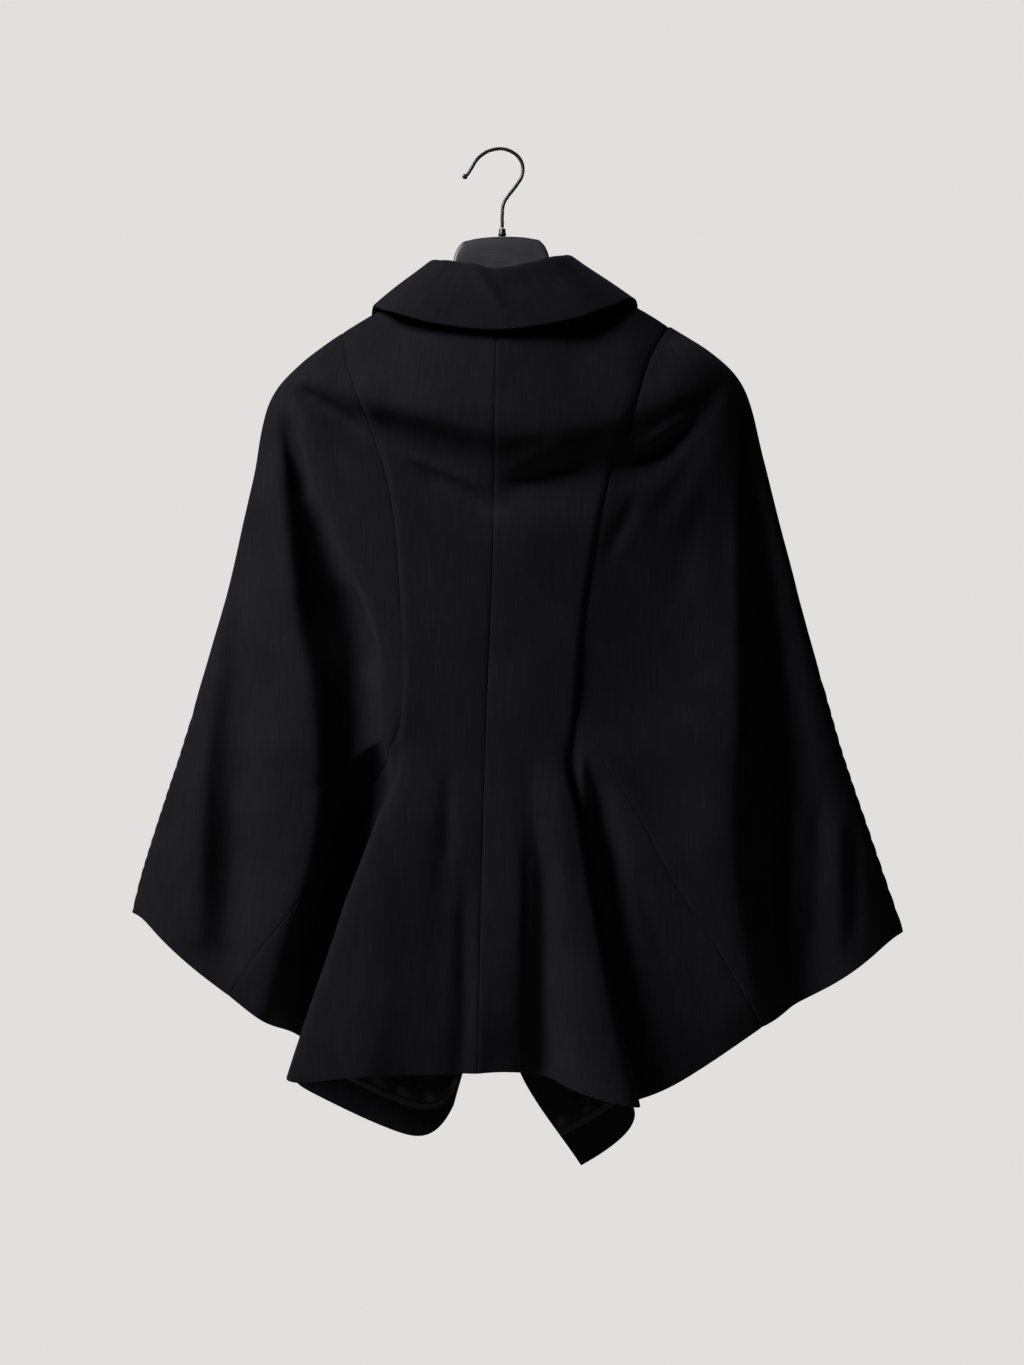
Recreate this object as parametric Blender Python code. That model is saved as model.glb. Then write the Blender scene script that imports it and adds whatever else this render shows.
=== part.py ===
"""A cape coat hung on a plain hanger, its back towards -Y, built from the pieces that a maker would cut and sew.

Sizes are in millimetres until the meshes are made. The origin is the inner crown of the hanger's hook, +Z is up,
+X is to the right of someone who looks at the coat's back, and the coat's front faces +Y.

Each seam or fold line is a table with a row for each level: row 0 is the shoulder or neck, row 5 the waist and
row 10 the hem. A panel's section at a level is a smooth curve over the points that these lines give there.
"""

import math

import bmesh
import bpy
import numpy as np

MM = 0.001
WALL = 1.8
COLLAR_WALL = 2.2
SEAM_GAP = 0.4
# A panel's pointed tip stands this many seam gaps clear of the corner that it runs into.
TIP_GAPS = 2.0
LAYER_GAP = 0.5
WAIST, HEM = 5, 10
# How far down the cloth each row of the seam tables lies
LEVELS_DOWN = (0, 42, 92, 160, 262, 378, 424, 484, 544, 602, 658)
WING_STEPS = 5
# Points on each fold's line for each of its stations, and the narrowest fold that the panels' grids can hold
FOLD_SAMPLES = 12
FOLD_LEAST_WIDTH = 15.0
LEFT, RIGHT = -1, 1

WING_FOLD_RADIUS = 11.0
FLUTE_RADIUS = 7.0
# How far the gore falls back between its seams, and how far its hem and the wing's dip between their ends
GORE_DEPTH = {LEFT: 4.0, RIGHT: 3.0}
GORE_DROP = {LEFT: 13.0, RIGHT: 12.0}
WING_DROP = {LEFT: 4.0, RIGHT: 7.0}
# The hem facing and the lining above it, inside the fronts. Their heights are shares of a level's height.
LAYER_WALL = 1.0
LAYER_COLUMNS = 9
FACING_ROWS = 0.34
LINING_ROWS = 1.1
HEM_INSET_ROWS = 0.012

ROWS = np.array(
    [0, 0.3, 0.65, 1, 1.5, 2, 2.25, 2.5, 2.75, 3, 3.5, 4, 4.5, 5, 5.5, 6, 6.5, 7, 7.5, 8, 8.5, 9, 9.5, 10]
)

# Columns: row, x, y, z
CENTRE_BACK = (
    (0, 1, -38, -143),
    (1, -2, -53, -183),
    (2, -3, -61, -232),
    (3, -4, -58, -302),
    (4, -6, -53, -397),
    (5, -11, -54, -515),
    (6, -13, -60, -581),
    (7, -15, -67, -650),
    (8, -16, -73, -710),
    (9, -17, -79, -765),
    (10, -18, -82, -815),
)
BACK_SEAM = {
    LEFT: (
        (0, -141, -2, -165),
        (1, -134, -26, -198),
        (2, -117, -44, -245),
        (3, -98, -48, -301),
        (4, -87, -47, -397),
        (5, -87, -50, -517),
        (6, -91, -44, -568),
        (7, -100, -38, -626),
        (8, -112, -34, -688),
        (9, -126, -32, -750),
        (10, -140, -32, -804),
    ),
    RIGHT: (
        (0, 152, -2, -159),
        (1, 134, -28, -192),
        (2, 114, -46, -257),
        (3, 98, -49, -297),
        (4, 78, -46, -406),
        (5, 67, -50, -516),
        (6, 62, -48, -568),
        (7, 65, -54, -634),
        (8, 73, -63, -700),
        (9, 84, -72, -765),
        (10, 101, -75, -843),
    ),
}
FLUTE = {
    LEFT: (
        (5, -87, -50, -517),
        (6, -98, -60, -569),
        (7, -117, -68, -624),
        (8, -139, -75, -684),
        (9, -162, -79, -750),
        (10, -186, -78, -821),
    ),
    RIGHT: (
        (5, 67, -50, -516),
        (6, 68, -58, -568),
        (7, 76, -67, -629),
        (8, 87, -76, -692),
        (9, 102, -84, -761),
        (10, 122, -88, -843),
    ),
}
DIAGONAL = {
    LEFT: (
        (5, -87, -50, -517),
        (6, -112, -36, -565),
        (7, -146, -34, -623),
        (8, -184, -34, -681),
        (9, -213, -33, -717),
        (10, -239, -31, -755),
    ),
    RIGHT: (
        (5, 67, -50, -516),
        (6, 91, -52, -546),
        (7, 121, -52, -592),
        (8, 155, -50, -655),
        (9, 190, -46, -709),
        (10, 232, -38, -782),
    ),
}
OUTER_FOLD = {
    LEFT: (
        (0, -141, 0, -165),
        (1, -179, 0, -192),
        (2, -206, 3, -222),
        (3, -223, 7, -295),
        (4, -248, 10, -400),
        (5, -280, 10, -510),
        (6, -291, 10, -547),
        (7, -303, 10, -583),
        (8, -315, 10, -621),
        (9, -325, 10, -654),
        (10, -333, 10, -686),
    ),
    RIGHT: (
        (0, 152, 0, -158),
        (1, 191, 0, -181),
        (2, 220, 3, -210),
        (3, 240, 7, -277),
        (4, 264, 10, -368),
        (5, 296, 10, -487),
        (6, 308, 10, -528),
        (7, 321, 10, -567),
        (8, 335, 10, -610),
        (9, 351, 10, -656),
        (10, 367, 10, -703),
    ),
}
FRONT_SEAM = {
    LEFT: (
        (0, -141, 2, -165),
        (1, -136, 24, -194),
        (2, -117, 38, -238),
        (3, -99, 42, -295),
        (4, -89, 41, -393),
        (5, -89, 44, -519),
        (6, -90, 35, -572),
        (7, -94, 29, -632),
        (8, -102, 23, -696),
        (9, -114, 18, -759),
        (10, -128, 15, -810),
    ),
    RIGHT: (
        (0, 152, 2, -159),
        (1, 136, 24, -188),
        (2, 113, 38, -248),
        (3, 98, 42, -289),
        (4, 79, 41, -402),
        (5, 68, 44, -518),
        (6, 62, 35, -572),
        (7, 62, 29, -641),
        (8, 66, 23, -709),
        (9, 74, 18, -777),
        (10, 86, 15, -838),
    ),
}
FRONT_FLUTE = {
    LEFT: (
        (5, -89, 44, -519),
        (6, -96, 48, -573),
        (7, -113, 52, -631),
        (8, -136, 52, -694),
        (9, -163, 50, -768),
        (10, -189, 46, -842),
    ),
    RIGHT: (
        (5, 68, 44, -518),
        (6, 67, 48, -573),
        (7, 73, 52, -643),
        (8, 83, 52, -712),
        (9, 98, 50, -790),
        (10, 120, 46, -876),
    ),
}
FRONT_EDGE = {
    LEFT: (
        (0, -56, 0, -124),
        (1, -49, 30, -172),
        (2, -41, 42, -236),
        (3, -32, 49, -310),
        (4, -18, 53, -411),
        (5, -5, 55, -520),
        (6, -6, 54, -587),
        (7, -10, 50, -661),
        (8, -15, 46, -734),
        (9, -24, 40, -800),
        (10, -42, 34, -866),
    ),
    RIGHT: (
        (0, 62, 0, -124),
        (1, 54, 30, -172),
        (2, 43, 42, -236),
        (3, 32, 49, -310),
        (4, 14, 53, -411),
        (5, -3, 55, -520),
        (6, -2, 54, -587),
        (7, -1, 50, -661),
        (8, 2, 46, -762),
        (9, 20, 40, -839),
        (10, 75, 34, -921),
    ),
}

# The inner points of the edge rows, from the centre out to the seam. Columns: x, y, z
BACK_NECK = {
    LEFT: ((-36, -38, -134), (-58, -6, -119), (-86, -2, -133), (-104, -2, -142), (-122, -2, -153)),
    RIGHT: ((38, -38, -132), (64, -8, -117), (92, -10, -129), (112, -12, -138), (132, -8, -147)),
}
BACK_HEM = {
    LEFT: ((-62, -88, -815), (-118, -95, -813), (-168, -88, -824), (-189, -77, -821), (-178, -64, -818)),
    RIGHT: ((24, -64, -813), (66, -92, -831), (108, -101, -839), (126, -89, -844), (118, -72, -842)),
}
FRONT_SHOULDER = {
    LEFT: ((-72, 4, -122), (-88, 4, -132), (-104, 4, -144), (-118, 4, -153), (-130, 3, -159)),
    RIGHT: ((78, 3, -120), (96, 3, -129), (112, 2, -137), (128, 1, -145), (140, 1, -152)),
}
FRONT_HEM = {
    LEFT: ((-58, 34, -900), (-92, 36, -894), (-170, 44, -858), (-196, 44, -844), (-178, 32, -836)),
    RIGHT: ((90, 36, -913), (105, 40, -904), (122, 46, -890), (127, 44, -875), (117, 32, -858)),
}

# The broad folds, each a smooth line through its stations. "upper" folds cross the back and the wings, "lower" ones
# run down the back below the waist, "wing" ones shape a wing and its gore, and "front" ones a wing's front half.
# Columns: x, z, depth, half width on its left or lower side, half width on its right or upper side.
# A positive depth is a trough seen from outside, a negative one a ridge.
FOLDS = (
    (
        "upper",
        (
            (-184, -214, 2, 9, 9),
            (-158, -232, 11, 16, 10),
            (-131, -252, 17, 20, 15),
            (-98, -270, 20, 24, 19),
            (-60, -289, 20, 26, 22),
            (-25, -307, 17, 26, 24),
            (2, -313, 13, 26, 24),
            (36, -303, 11, 28, 22),
            (80, -290, 8, 26, 20),
            (115, -286, 8, 18, 16),
            (138, -277, 10, 15, 12),
            (160, -258, 9, 13, 11),
            (178, -238, 6, 12, 10),
            (194, -219, 2, 9, 9),
        ),
    ),
    (
        "upper",
        (
            (-168, -208, -3, 12, 16),
            (-134, -221, -10, 13, 24),
            (-100, -231, -14, 14, 30),
            (-50, -246, -17, 16, 36),
            (0, -262, -14, 16, 40),
            (50, -258, -9, 15, 40),
            (95, -248, -6, 14, 34),
            (150, -226, -3, 12, 20),
        ),
    ),
    (
        "wing",
        (
            (-192, -238, 2, 7, 8),
            (-181, -277, 10, 9, 9),
            (-170, -316, 18, 14, 10),
            (-156, -361, 24, 19, 11),
            (-142, -405, 29, 23, 12),
            (-129, -450, 30, 25, 13),
            (-123, -494, 29, 24, 15),
            (-118, -538, 29, 24, 16),
            (-120, -583, 28, 22, 18),
            (-131, -627, 31, 20, 22),
            (-143, -671, 32, 20, 24),
            (-158, -716, 31, 18, 24),
            (-173, -760, 28, 18, 24),
            (-184, -800, 26, 18, 24),
        ),
    ),
    (
        "wing",
        (
            (-200, -300, -3, 20, 9),
            (-189, -361, -8, 32, 11),
            (-182, -405, -11, 40, 12),
            (-174, -450, -13, 44, 13),
            (-164, -494, -15, 46, 13),
            (-159, -538, -17, 48, 13),
            (-159, -583, -18, 48, 12),
            (-163, -627, -18, 46, 12),
            (-175, -671, -17, 42, 12),
            (-190, -715, -14, 36, 12),
            (-201, -765, -10, 30, 12),
        ),
    ),
    (
        "wing",
        (
            (-229, -380, 2, 12, 18),
            (-233, -440, 6, 15, 20),
            (-235, -512, 11, 17, 22),
            (-236, -584, 14, 18, 22),
            (-237, -655, 14, 18, 22),
            (-238, -712, 7, 16, 20),
        ),
    ),
    ("wing", ((-252, -420, -1, 14, 8), (-262, -520, -5, 16, 9), (-265, -620, -6, 18, 9), (-264, -700, -3, 16, 9))),
    (
        "wing",
        (
            (227, -254, 2, 8, 10),
            (229, -299, 6, 10, 14),
            (235, -352, 11, 14, 18),
            (239, -405, 15, 17, 20),
            (243, -450, 19, 19, 22),
            (246, -494, 22, 20, 26),
            (249, -538, 25, 21, 30),
            (250, -583, 27, 21, 34),
            (251, -627, 28, 21, 36),
            (253, -671, 28, 20, 36),
            (258, -716, 26, 18, 34),
            (264, -762, 23, 17, 32),
        ),
    ),
    (
        "wing",
        (
            (206, -330, -1, 30, 13),
            (207, -400, -5, 34, 14),
            (206, -460, -8, 36, 15),
            (204, -520, -11, 40, 15),
            (203, -600, -12, 42, 15),
            (208, -680, -11, 40, 15),
            (222, -750, -8, 36, 15),
        ),
    ),
    (
        "wing",
        (
            (81, -550, 1, 6, 10),
            (89, -581, 7, 7, 12),
            (93, -624, 11, 8, 14),
            (98, -668, 10, 9, 15),
            (105, -712, 8, 10, 16),
            (114, -764, 5, 12, 18),
            (122, -816, 3, 14, 20),
        ),
    ),
    (
        "lower",
        (
            (27, -555, 1, 10, 9),
            (32, -607, 6, 13, 9),
            (39, -650, 13, 15, 11),
            (40, -710, 17, 16, 13),
            (40, -763, 18, 17, 16),
            (41, -815, 18, 18, 18),
        ),
    ),
    ("lower", ((-42, -555, 1, 10, 9), (-46, -624, 3, 12, 10), (-48, -690, 2, 14, 10), (-50, -760, 1, 14, 10))),
    ("lower", ((-29, -640, 1, 8, 8), (-30, -710, 3, 9, 9), (-32, -815, 4, 10, 9))),
    ("lower", ((-100, -650, -1, 14, 14), (-105, -740, -3, 18, 16), (-112, -815, -4, 20, 16))),
    (
        "front",
        (
            (-176, -250, 2, 10, 12),
            (-160, -330, 6, 12, 18),
            (-140, -420, 9, 14, 22),
            (-124, -500, 9, 16, 20),
            (-126, -590, 5, 16, 18),
        ),
    ),
    ("front", ((-236, -420, 2, 10, 16), (-246, -520, 5, 12, 20), (-252, -610, 4, 12, 20), (-254, -690, 2, 12, 18))),
    (
        "front",
        (
            (186, -262, 2, 12, 9),
            (172, -350, 6, 18, 12),
            (150, -430, 9, 22, 14),
            (122, -505, 8, 20, 15),
            (116, -600, 4, 18, 15),
        ),
    ),
    ("front", ((238, -350, 2, 16, 10), (250, -470, 6, 20, 12), (256, -580, 5, 22, 14), (268, -700, 3, 20, 14))),
)

# The collar's section at each station, from the left front's break round the back to the right one.
# Columns: the neck seam, the roll and the leaf's edge, each x, y, z
COLLAR = (
    (-6, 60, -486, -5, 63, -480, -10, 62.5, -483),
    (-30, 58, -340, -25, 63, -340, -60, 62, -366),
    (-42, 49, -238, -38, 57, -236, -98, 56, -272),
    (-52, 33, -170, -53, 37, -157, -112, 38, -194),
    (-57, 1, -118, -62, 1, -108, -114, 0, -144.5),
    (-45, -24, -122, -49, -27, -107, -99, -35, -150),
    (-24, -33.8, -135, -27, -40, -113, -57, -57, -164),
    (1, -37, -140, 1, -43, -117, 0, -64, -171),
    (26, -34, -133.3, 30, -40, -111, 62, -57, -161),
    (48, -24, -122.5, 53, -27, -103, 97, -37, -147),
    (62, 1, -117, 66, 1, -104, 124, 0, -137),
    (56, 33, -170, 56, 37, -156, 118, 37, -188),
    (43, 49, -238, 40, 57, -236, 100, 56, -272),
    (29, 58, -340, 26, 63, -340, 60, 62, -366),
    (-1, 60, -486, 0, 63, -480, 4, 62.5, -483),
)
COLLAR_BULGE = 2.5
ROLL_RADIUS = 4.0

# The hanger, from its middle out to the arm's end. Columns: x, top, bottom, half depth
HANGER_TILT = math.radians(1.3)
HANGER = (
    (0, -77.5, -158, 6.5),
    (14, -78, -156, 6.5),
    (28, -80, -152, 6.5),
    (36, -83, -149, 6.5),
    (42, -93, -150, 6.5),
    (47, -114, -150, 5.5),
    (57, -132, -153, 5.0),
    (85, -140, -160, 5.0),
    (115, -152, -174, 5.5),
    (145, -168, -189, 5.5),
    (172, -184, -203, 5.5),
    (188, -196, -212, 5.0),
    (197, -206, -212, 3.0),
)
HOOK_WIRE = 3.2
HOOK_TIP_BALL = 5.0
# The hook's middle line from the stem up and round to the tip. Columns: x, z
HOOK = (
    (3, -69.5),
    (3, -58),
    (4, -48),
    (8, -41),
    (15, -32),
    (20.5, -23),
    (21.5, -14),
    (18, -6),
    (11, -0.5),
    (3, 1.8),
    (-5, 1.2),
    (-13, -2),
    (-20, -8),
    (-25, -16),
    (-29, -22),
    (-33, -24),
)
FERRULE_RADIUS, FERRULE_TOP, FERRULE_BOTTOM = 3.6, -70.0, -77.0

WOOL = ("black_wool", (0.0105, 0.0105, 0.012, 1), 0.85, 0.0)
LINING = ("black_lining", (0.012, 0.012, 0.014, 1), 0.35, 0.0)
PLASTIC = ("black_plastic", (0.022, 0.022, 0.022, 1), 0.42, 0.0)
WIRE = ("black_wire", (0.02, 0.02, 0.02, 1), 0.35, 0.6)


def smooth_step(value):
    value = np.clip(value, 0.0, 1.0)
    return value * value * (3 - 2 * value)


def along(table, keys):
    """Points at these keys on a smooth curve through a table whose first column is the key."""
    table = np.asarray(table, float)
    at, points = table[:, 0], table[:, 1:]
    slopes = np.gradient(points, at, axis=0)
    keys = np.atleast_1d(np.clip(keys, at[0], at[-1]))
    i = np.clip(np.searchsorted(at, keys, side="right") - 1, 0, len(at) - 2)
    span = (at[i + 1] - at[i])[:, None]
    t = (keys[:, None] - at[i][:, None]) / span
    start = (1 + 2 * t) * (1 - t) ** 2 * points[i] + t * (1 - t) ** 2 * span * slopes[i]
    end = t * t * (3 - 2 * t) * points[i + 1] + t * t * (t - 1) * span * slopes[i + 1]
    return start + end


def down_cloth(rows):
    """The nominal distance down the cloth of each row."""
    return np.interp(rows, np.arange(len(LEVELS_DOWN)), LEVELS_DOWN)


def at_levels(table, rows):
    """Points of a seam or fold table at these rows, on a curve that is smooth in the distance down the cloth."""
    table = np.array(table, float)
    table[:, 0] = down_cloth(table[:, 0])
    return along(table, down_cloth(rows))


def spline_weights(count, columns):
    """How much each of a section's control points counts at each column of a clamped cubic B-spline."""
    knots = np.concatenate([[0.0] * 3, np.arange(count - 2), [count - 3.0] * 3])
    t = np.clip(columns, 0, count - 3 - 1e-9)
    weights = ((t[:, None] >= knots[:-1]) & (t[:, None] < knots[1:])).astype(float)
    for degree in (1, 2, 3):
        size = len(knots) - degree - 1
        rise = knots[degree : degree + size] - knots[:size]
        fall = knots[degree + 1 : degree + 1 + size] - knots[1 : 1 + size]
        left = np.where(rise > 0, (t[:, None] - knots[:size]) / np.where(rise > 0, rise, 1), 0)
        right = np.where(
            fall > 0, (knots[degree + 1 : degree + 1 + size] - t[:, None]) / np.where(fall > 0, fall, 1), 0
        )
        weights = left * weights[:, :size] + right * weights[:, 1 : size + 1]
    return weights


def net_of(controls, steps):
    """The grid of points, rows by columns, over control points given as rows by points by xyz."""
    spans = controls.shape[1] - 3
    columns = np.linspace(0, spans, spans * steps + 1)
    return np.einsum("ck,rkx->rcx", spline_weights(controls.shape[1], columns), controls), columns / spans


def between(start, end, share, bulge):
    """Points part of the way from start to end, moved along Y by the bulge."""
    points = start + (end - start) * share
    points[:, 1] += bulge
    return points


def edge_row_blend(controls, inner, at_row, reach):
    """Draws the inner control points to a given edge row, less and less over the rows near it."""
    weight = smooth_step(1 - np.abs(ROWS - at_row) / reach)[:, None, None] ** 1.5
    row = int(np.argmin(np.abs(ROWS - at_row)))
    shift = np.asarray(inner, float) - controls[row, 1:-1]
    controls[:, 1:-1] += weight * shift


def trunk_net(centre, seam, flute, side, out, top, hem, steps):
    """A back or a front: from its centre line to its seam, with the flute that grows below the waist.

    out is the direction in Y that the piece faces, -1 for the back and 1 for the front.
    """
    middle, edge = at_levels(centre, ROWS), at_levels(seam, ROWS)
    ridge = at_levels(flute, ROWS)
    ridge[ROWS <= WAIST] = edge[ROWS <= WAIST]
    grown = smooth_step((ROWS - WAIST) / 1.6)[:, None]
    fullness = 3.0 * out * np.ones(len(ROWS))
    plain = [middle] + [between(middle, edge, share, fullness) for share in (0.3, 0.55, 0.75, 0.88, 0.95)] + [edge]
    into = np.array([-side * FLUTE_RADIUS, out * FLUTE_RADIUS * 0.8, 0])
    back = np.array([-side * FLUTE_RADIUS, -out * FLUTE_RADIUS * 1.3, 0])
    beyond = np.array([side * 2.0, 0, 0])
    fluted = [
        middle,
        between(middle, ridge, 0.35, fullness),
        between(middle, ridge, 0.7, 2 * fullness),
        ridge + into,
        ridge + beyond,
        ridge + back,
        edge,
    ]
    controls = np.stack([p * (1 - grown) + f * grown for p, f in zip(plain, fluted)], axis=1)
    edge_row_blend(controls, top, 0, 2.0)
    edge_row_blend(controls, hem, HEM, 3.0)
    return net_of(controls, steps)


def wing_line(side):
    """A wing's inner edge: the back seam down to the waist, then the diagonal seam."""
    return BACK_SEAM[side][:WAIST] + DIAGONAL[side]


def wing_net(side, steps):
    """A cape wing: from the back seam and its diagonal round the outer fold to the front seam."""
    inner = at_levels(wing_line(side), ROWS)
    outer = at_levels(OUTER_FOLD[side], ROWS)
    front = at_levels(FRONT_SEAM[side], ROWS)
    radius = (WING_FOLD_RADIUS * smooth_step(ROWS / 1.5))[:, None]
    turn_back = outer + radius * np.array([-side, -1.0, 0])
    turn_front = outer + radius * np.array([-side, 1.0, 0])
    full = smooth_step(ROWS / 1.5)
    fuller = full * (1 + 0.55 * smooth_step((ROWS - 3) / 3))
    drop = WING_DROP[side] * smooth_step((ROWS - 8) / 2)
    tucked = smooth_step((ROWS - WAIST + 1) / 2)
    controls = [
        inner,
        between(inner, turn_back, 0.25, -3 * fuller),
        between(inner, turn_back, 0.55, -8 * fuller),
        between(inner, turn_back, 0.82, -7 * fuller),
        turn_back,
        outer + radius * np.array([side * 0.25, 0, 0]),
        turn_front,
        between(front, turn_front, 0.72, 6 * full - 5 * tucked),
        between(front, turn_front, 0.35, 5 * full - 10 * tucked),
        front,
    ]
    for points, share in zip(controls[1:5], (0.9, 1.0, 0.8, 0.4)):
        points[:, 2] -= drop * share
    return net_of(np.stack(controls, axis=1), steps)


def side_net(side, steps):
    """The gore below the diagonal seam. Its tip is at the waist."""
    rows = ROWS[ROWS >= WAIST]
    seam, diagonal = at_levels(BACK_SEAM[side], rows), at_levels(wing_line(side), rows)
    deep = GORE_DEPTH[side] * smooth_step((rows - WAIST) / 2)
    drop = GORE_DROP[side] * smooth_step((rows - 8) / 2)
    near = between(seam, diagonal, 0.25, deep)
    middle = between(seam, diagonal, 0.5, deep)
    far = between(seam, diagonal, 0.75, deep * 0.3)
    for points, share in ((near, 1.0), (middle, 0.9), (far, 0.5)):
        points[:, 2] -= drop * share
    return net_of(np.stack([seam, near, middle, far, diagonal], axis=1), steps)


def fold_depth(net, kind):
    """How far the broad folds of one kind set each point of a net in."""
    places = net[..., [0, 2]].reshape(-1, 2)
    depth = np.zeros(len(places))
    for its_kind, stations in FOLDS:
        if its_kind != kind:
            continue
        table = np.column_stack([np.arange(len(stations)), np.asarray(stations, float)])
        line = along(table, np.linspace(0, len(stations) - 1, FOLD_SAMPLES * len(stations)))
        run = np.gradient(line[:, :2], axis=0)
        offset = places[:, None] - line[:, :2]
        nearest = np.argmin((offset**2).sum(axis=2), axis=1)
        offset = offset[np.arange(len(places)), nearest]
        run = run[nearest] / np.linalg.norm(run[nearest], axis=1, keepdims=True)
        away = np.maximum(np.linalg.norm(offset, axis=1), 1e-9)
        # 1 beside the line on its right or upper side, 0 on the other, and between past its ends
        upper = 0.5 + 0.5 * (run[:, 0] * offset[:, 1] - run[:, 1] * offset[:, 0]) / away
        width = line[nearest, 3] + (line[nearest, 4] - line[nearest, 3]) * upper
        depth += line[nearest, 2] * np.exp(-((away / np.maximum(width, FOLD_LEAST_WIDTH)) ** 2))
    return depth.reshape(net.shape[:2])


def below_waist(rows):
    """0 down to the waist, where the gore's tip is, and 1 a little below it."""
    return smooth_step((rows - WAIST) / 1.4)


def off_seam(across):
    """Fades a fold out towards the seam at the far edge of a back panel."""
    return smooth_step((1 - across) / 0.15)


def wing_folds(net, across):
    """How far a wing's folds move its points along Y, on its back half and on its front half."""
    seen = smooth_step((0.52 - across) / 0.2)
    hidden = smooth_step((across - 0.5) / 0.2) * smooth_step((1 - across) / 0.15)
    free = np.maximum(smooth_step(across / 0.07), below_waist(ROWS)[:, None])
    return (fold_depth(net, "upper") + fold_depth(net, "wing") * free) * seen - fold_depth(net, "front") * hidden


def coat_nets():
    """Every panel of the coat as a grid of points on the middle of its cloth, seams shared."""
    nets = {}
    for side, name in ((LEFT, "left"), (RIGHT, "right")):
        net, across = trunk_net(CENTRE_BACK, BACK_SEAM[side], FLUTE[side], side, -1, BACK_NECK[side], BACK_HEM[side], 3)
        net[..., 1] += fold_depth(net, "upper") + fold_depth(net, "lower") * off_seam(across)
        nets["back_" + name] = net
        net, across = wing_net(side, WING_STEPS)
        nets["cape_" + name] = net
        net[..., 1] += wing_folds(net, across)
        net, across = side_net(side, 3)
        free = below_waist(ROWS[ROWS >= WAIST])[:, None] * smooth_step(across / 0.35)
        net[..., 1] += fold_depth(net, "wing") * free
        nets["side_" + name] = net
        net, _ = trunk_net(
            FRONT_EDGE[side], FRONT_SEAM[side], FRONT_FLUTE[side], side, 1, FRONT_SHOULDER[side], FRONT_HEM[side], 3
        )
        nets["front_" + name] = net
    for side, name in ((LEFT, "left"), (RIGHT, "right")):
        # Seams are shared exactly: the gore's far edge follows the wing's, and its near edge the back's.
        nets["side_" + name][:, -1] = nets["cape_" + name][ROWS >= WAIST, 0]
        nets["side_" + name][:, 0] = nets["back_" + name][ROWS >= WAIST, -1]
        nets["cape_" + name][ROWS <= WAIST, 0] = nets["back_" + name][ROWS <= WAIST, -1]
        nets["cape_" + name][:, -1] = nets["front_" + name][:, -1]
        nets["cape_" + name][0] = nets["back_" + name][0, -1]
        nets["front_" + name][0, -1] = nets["back_" + name][0, -1]
    return nets


def facing_sign(name):
    """1 where a net's columns and rows already turn its normals outwards, and -1 where they turn them in."""
    outward = {"back_left": 1, "cape_left": 1, "side_left": 1, "front_left": -1}
    outward |= {"back_right": -1, "cape_right": -1, "side_right": -1, "front_right": 1}
    return outward[name]


def panel_normals(net, sign):
    """The outward normal at each point of one panel, from the faces around it."""
    across = net[1:, 1:] - net[:-1, :-1]
    down = net[1:, :-1] - net[:-1, 1:]
    faces = np.cross(across, down) * sign
    normals = np.zeros_like(net)
    for rows in (slice(0, -1), slice(1, None)):
        for columns in (slice(0, -1), slice(1, None)):
            normals[rows, columns] += faces
    return normals / np.linalg.norm(normals, axis=-1, keepdims=True)


def joint_normals(nets):
    """Each net's outward normals. Where panels meet at a seam, they share the mean of theirs."""
    total = {}
    for name, net in nets.items():
        own = panel_normals(net, facing_sign(name))
        at_point = {}
        for point, normal in zip(net.reshape(-1, 3), own.reshape(-1, 3)):
            key = tuple(np.round(point, 2))
            at_point[key] = at_point.get(key, 0) + normal
        for key, normal in at_point.items():
            total[key] = total.get(key, 0) + normal / np.linalg.norm(normal)
    normals = {}
    for name, net in nets.items():
        found = np.array([[total[tuple(np.round(point, 2))] for point in line] for line in net])
        normals[name] = found / np.linalg.norm(found, axis=-1, keepdims=True)
    return normals


def into_panel(net, end, rows):
    """Unit steps from an edge column, 0 or -1, to the column inside it, at these rows."""
    step = net[rows, 1 if end == 0 else -2] - net[rows, end]
    length = np.linalg.norm(step, axis=1, keepdims=True)
    return np.where(length > SEAM_GAP, step / np.maximum(length, 1e-9), 0)


def parted(nets):
    """The nets with a seam gap between the panels that meet at each seam."""
    apart = {name: net.copy() for name, net in nets.items()}
    upper, lower, whole = ROWS < WAIST, ROWS >= WAIST, ROWS >= 0
    gore = np.ones(int(lower.sum()), bool)
    seams = [("back_left", 0, whole, "back_right", 0, whole)]
    for side in ("_left", "_right"):
        seams += [
            ("back" + side, -1, upper, "cape" + side, 0, upper),
            ("back" + side, -1, lower, "side" + side, 0, gore),
            ("cape" + side, 0, lower, "side" + side, -1, gore),
            ("cape" + side, -1, whole, "front" + side, -1, whole),
        ]
    for one, one_end, one_rows, other, other_end, other_rows in seams:
        first = into_panel(nets[one], one_end, one_rows)
        second = into_panel(nets[other], other_end, other_rows)
        away = first - second
        away /= np.maximum(np.linalg.norm(away, axis=1, keepdims=True), 1e-9)
        apart[one][one_rows, one_end] += away * SEAM_GAP / 2
        apart[other][other_rows, other_end] -= away * SEAM_GAP / 2
    for name, net in apart.items():
        step = nets[name][1].mean(axis=0) - nets[name][0].mean(axis=0)
        pointed = name.split("_")[0] in ("cape", "side")
        net[0] += step / np.linalg.norm(step) * SEAM_GAP * (TIP_GAPS if pointed else 0.5)
        if pointed:
            net[0] = net[0].mean(axis=0)
    return apart


def material(look):
    name, colour, roughness, metallic = look
    made = bpy.data.materials.get(name) or bpy.data.materials.new(name)
    made.use_nodes = True
    shader = made.node_tree.nodes["Principled BSDF"]
    shader.inputs["Base Color"].default_value = colour
    shader.inputs["Roughness"].default_value = roughness
    shader.inputs["Metallic"].default_value = metallic
    return made


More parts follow.
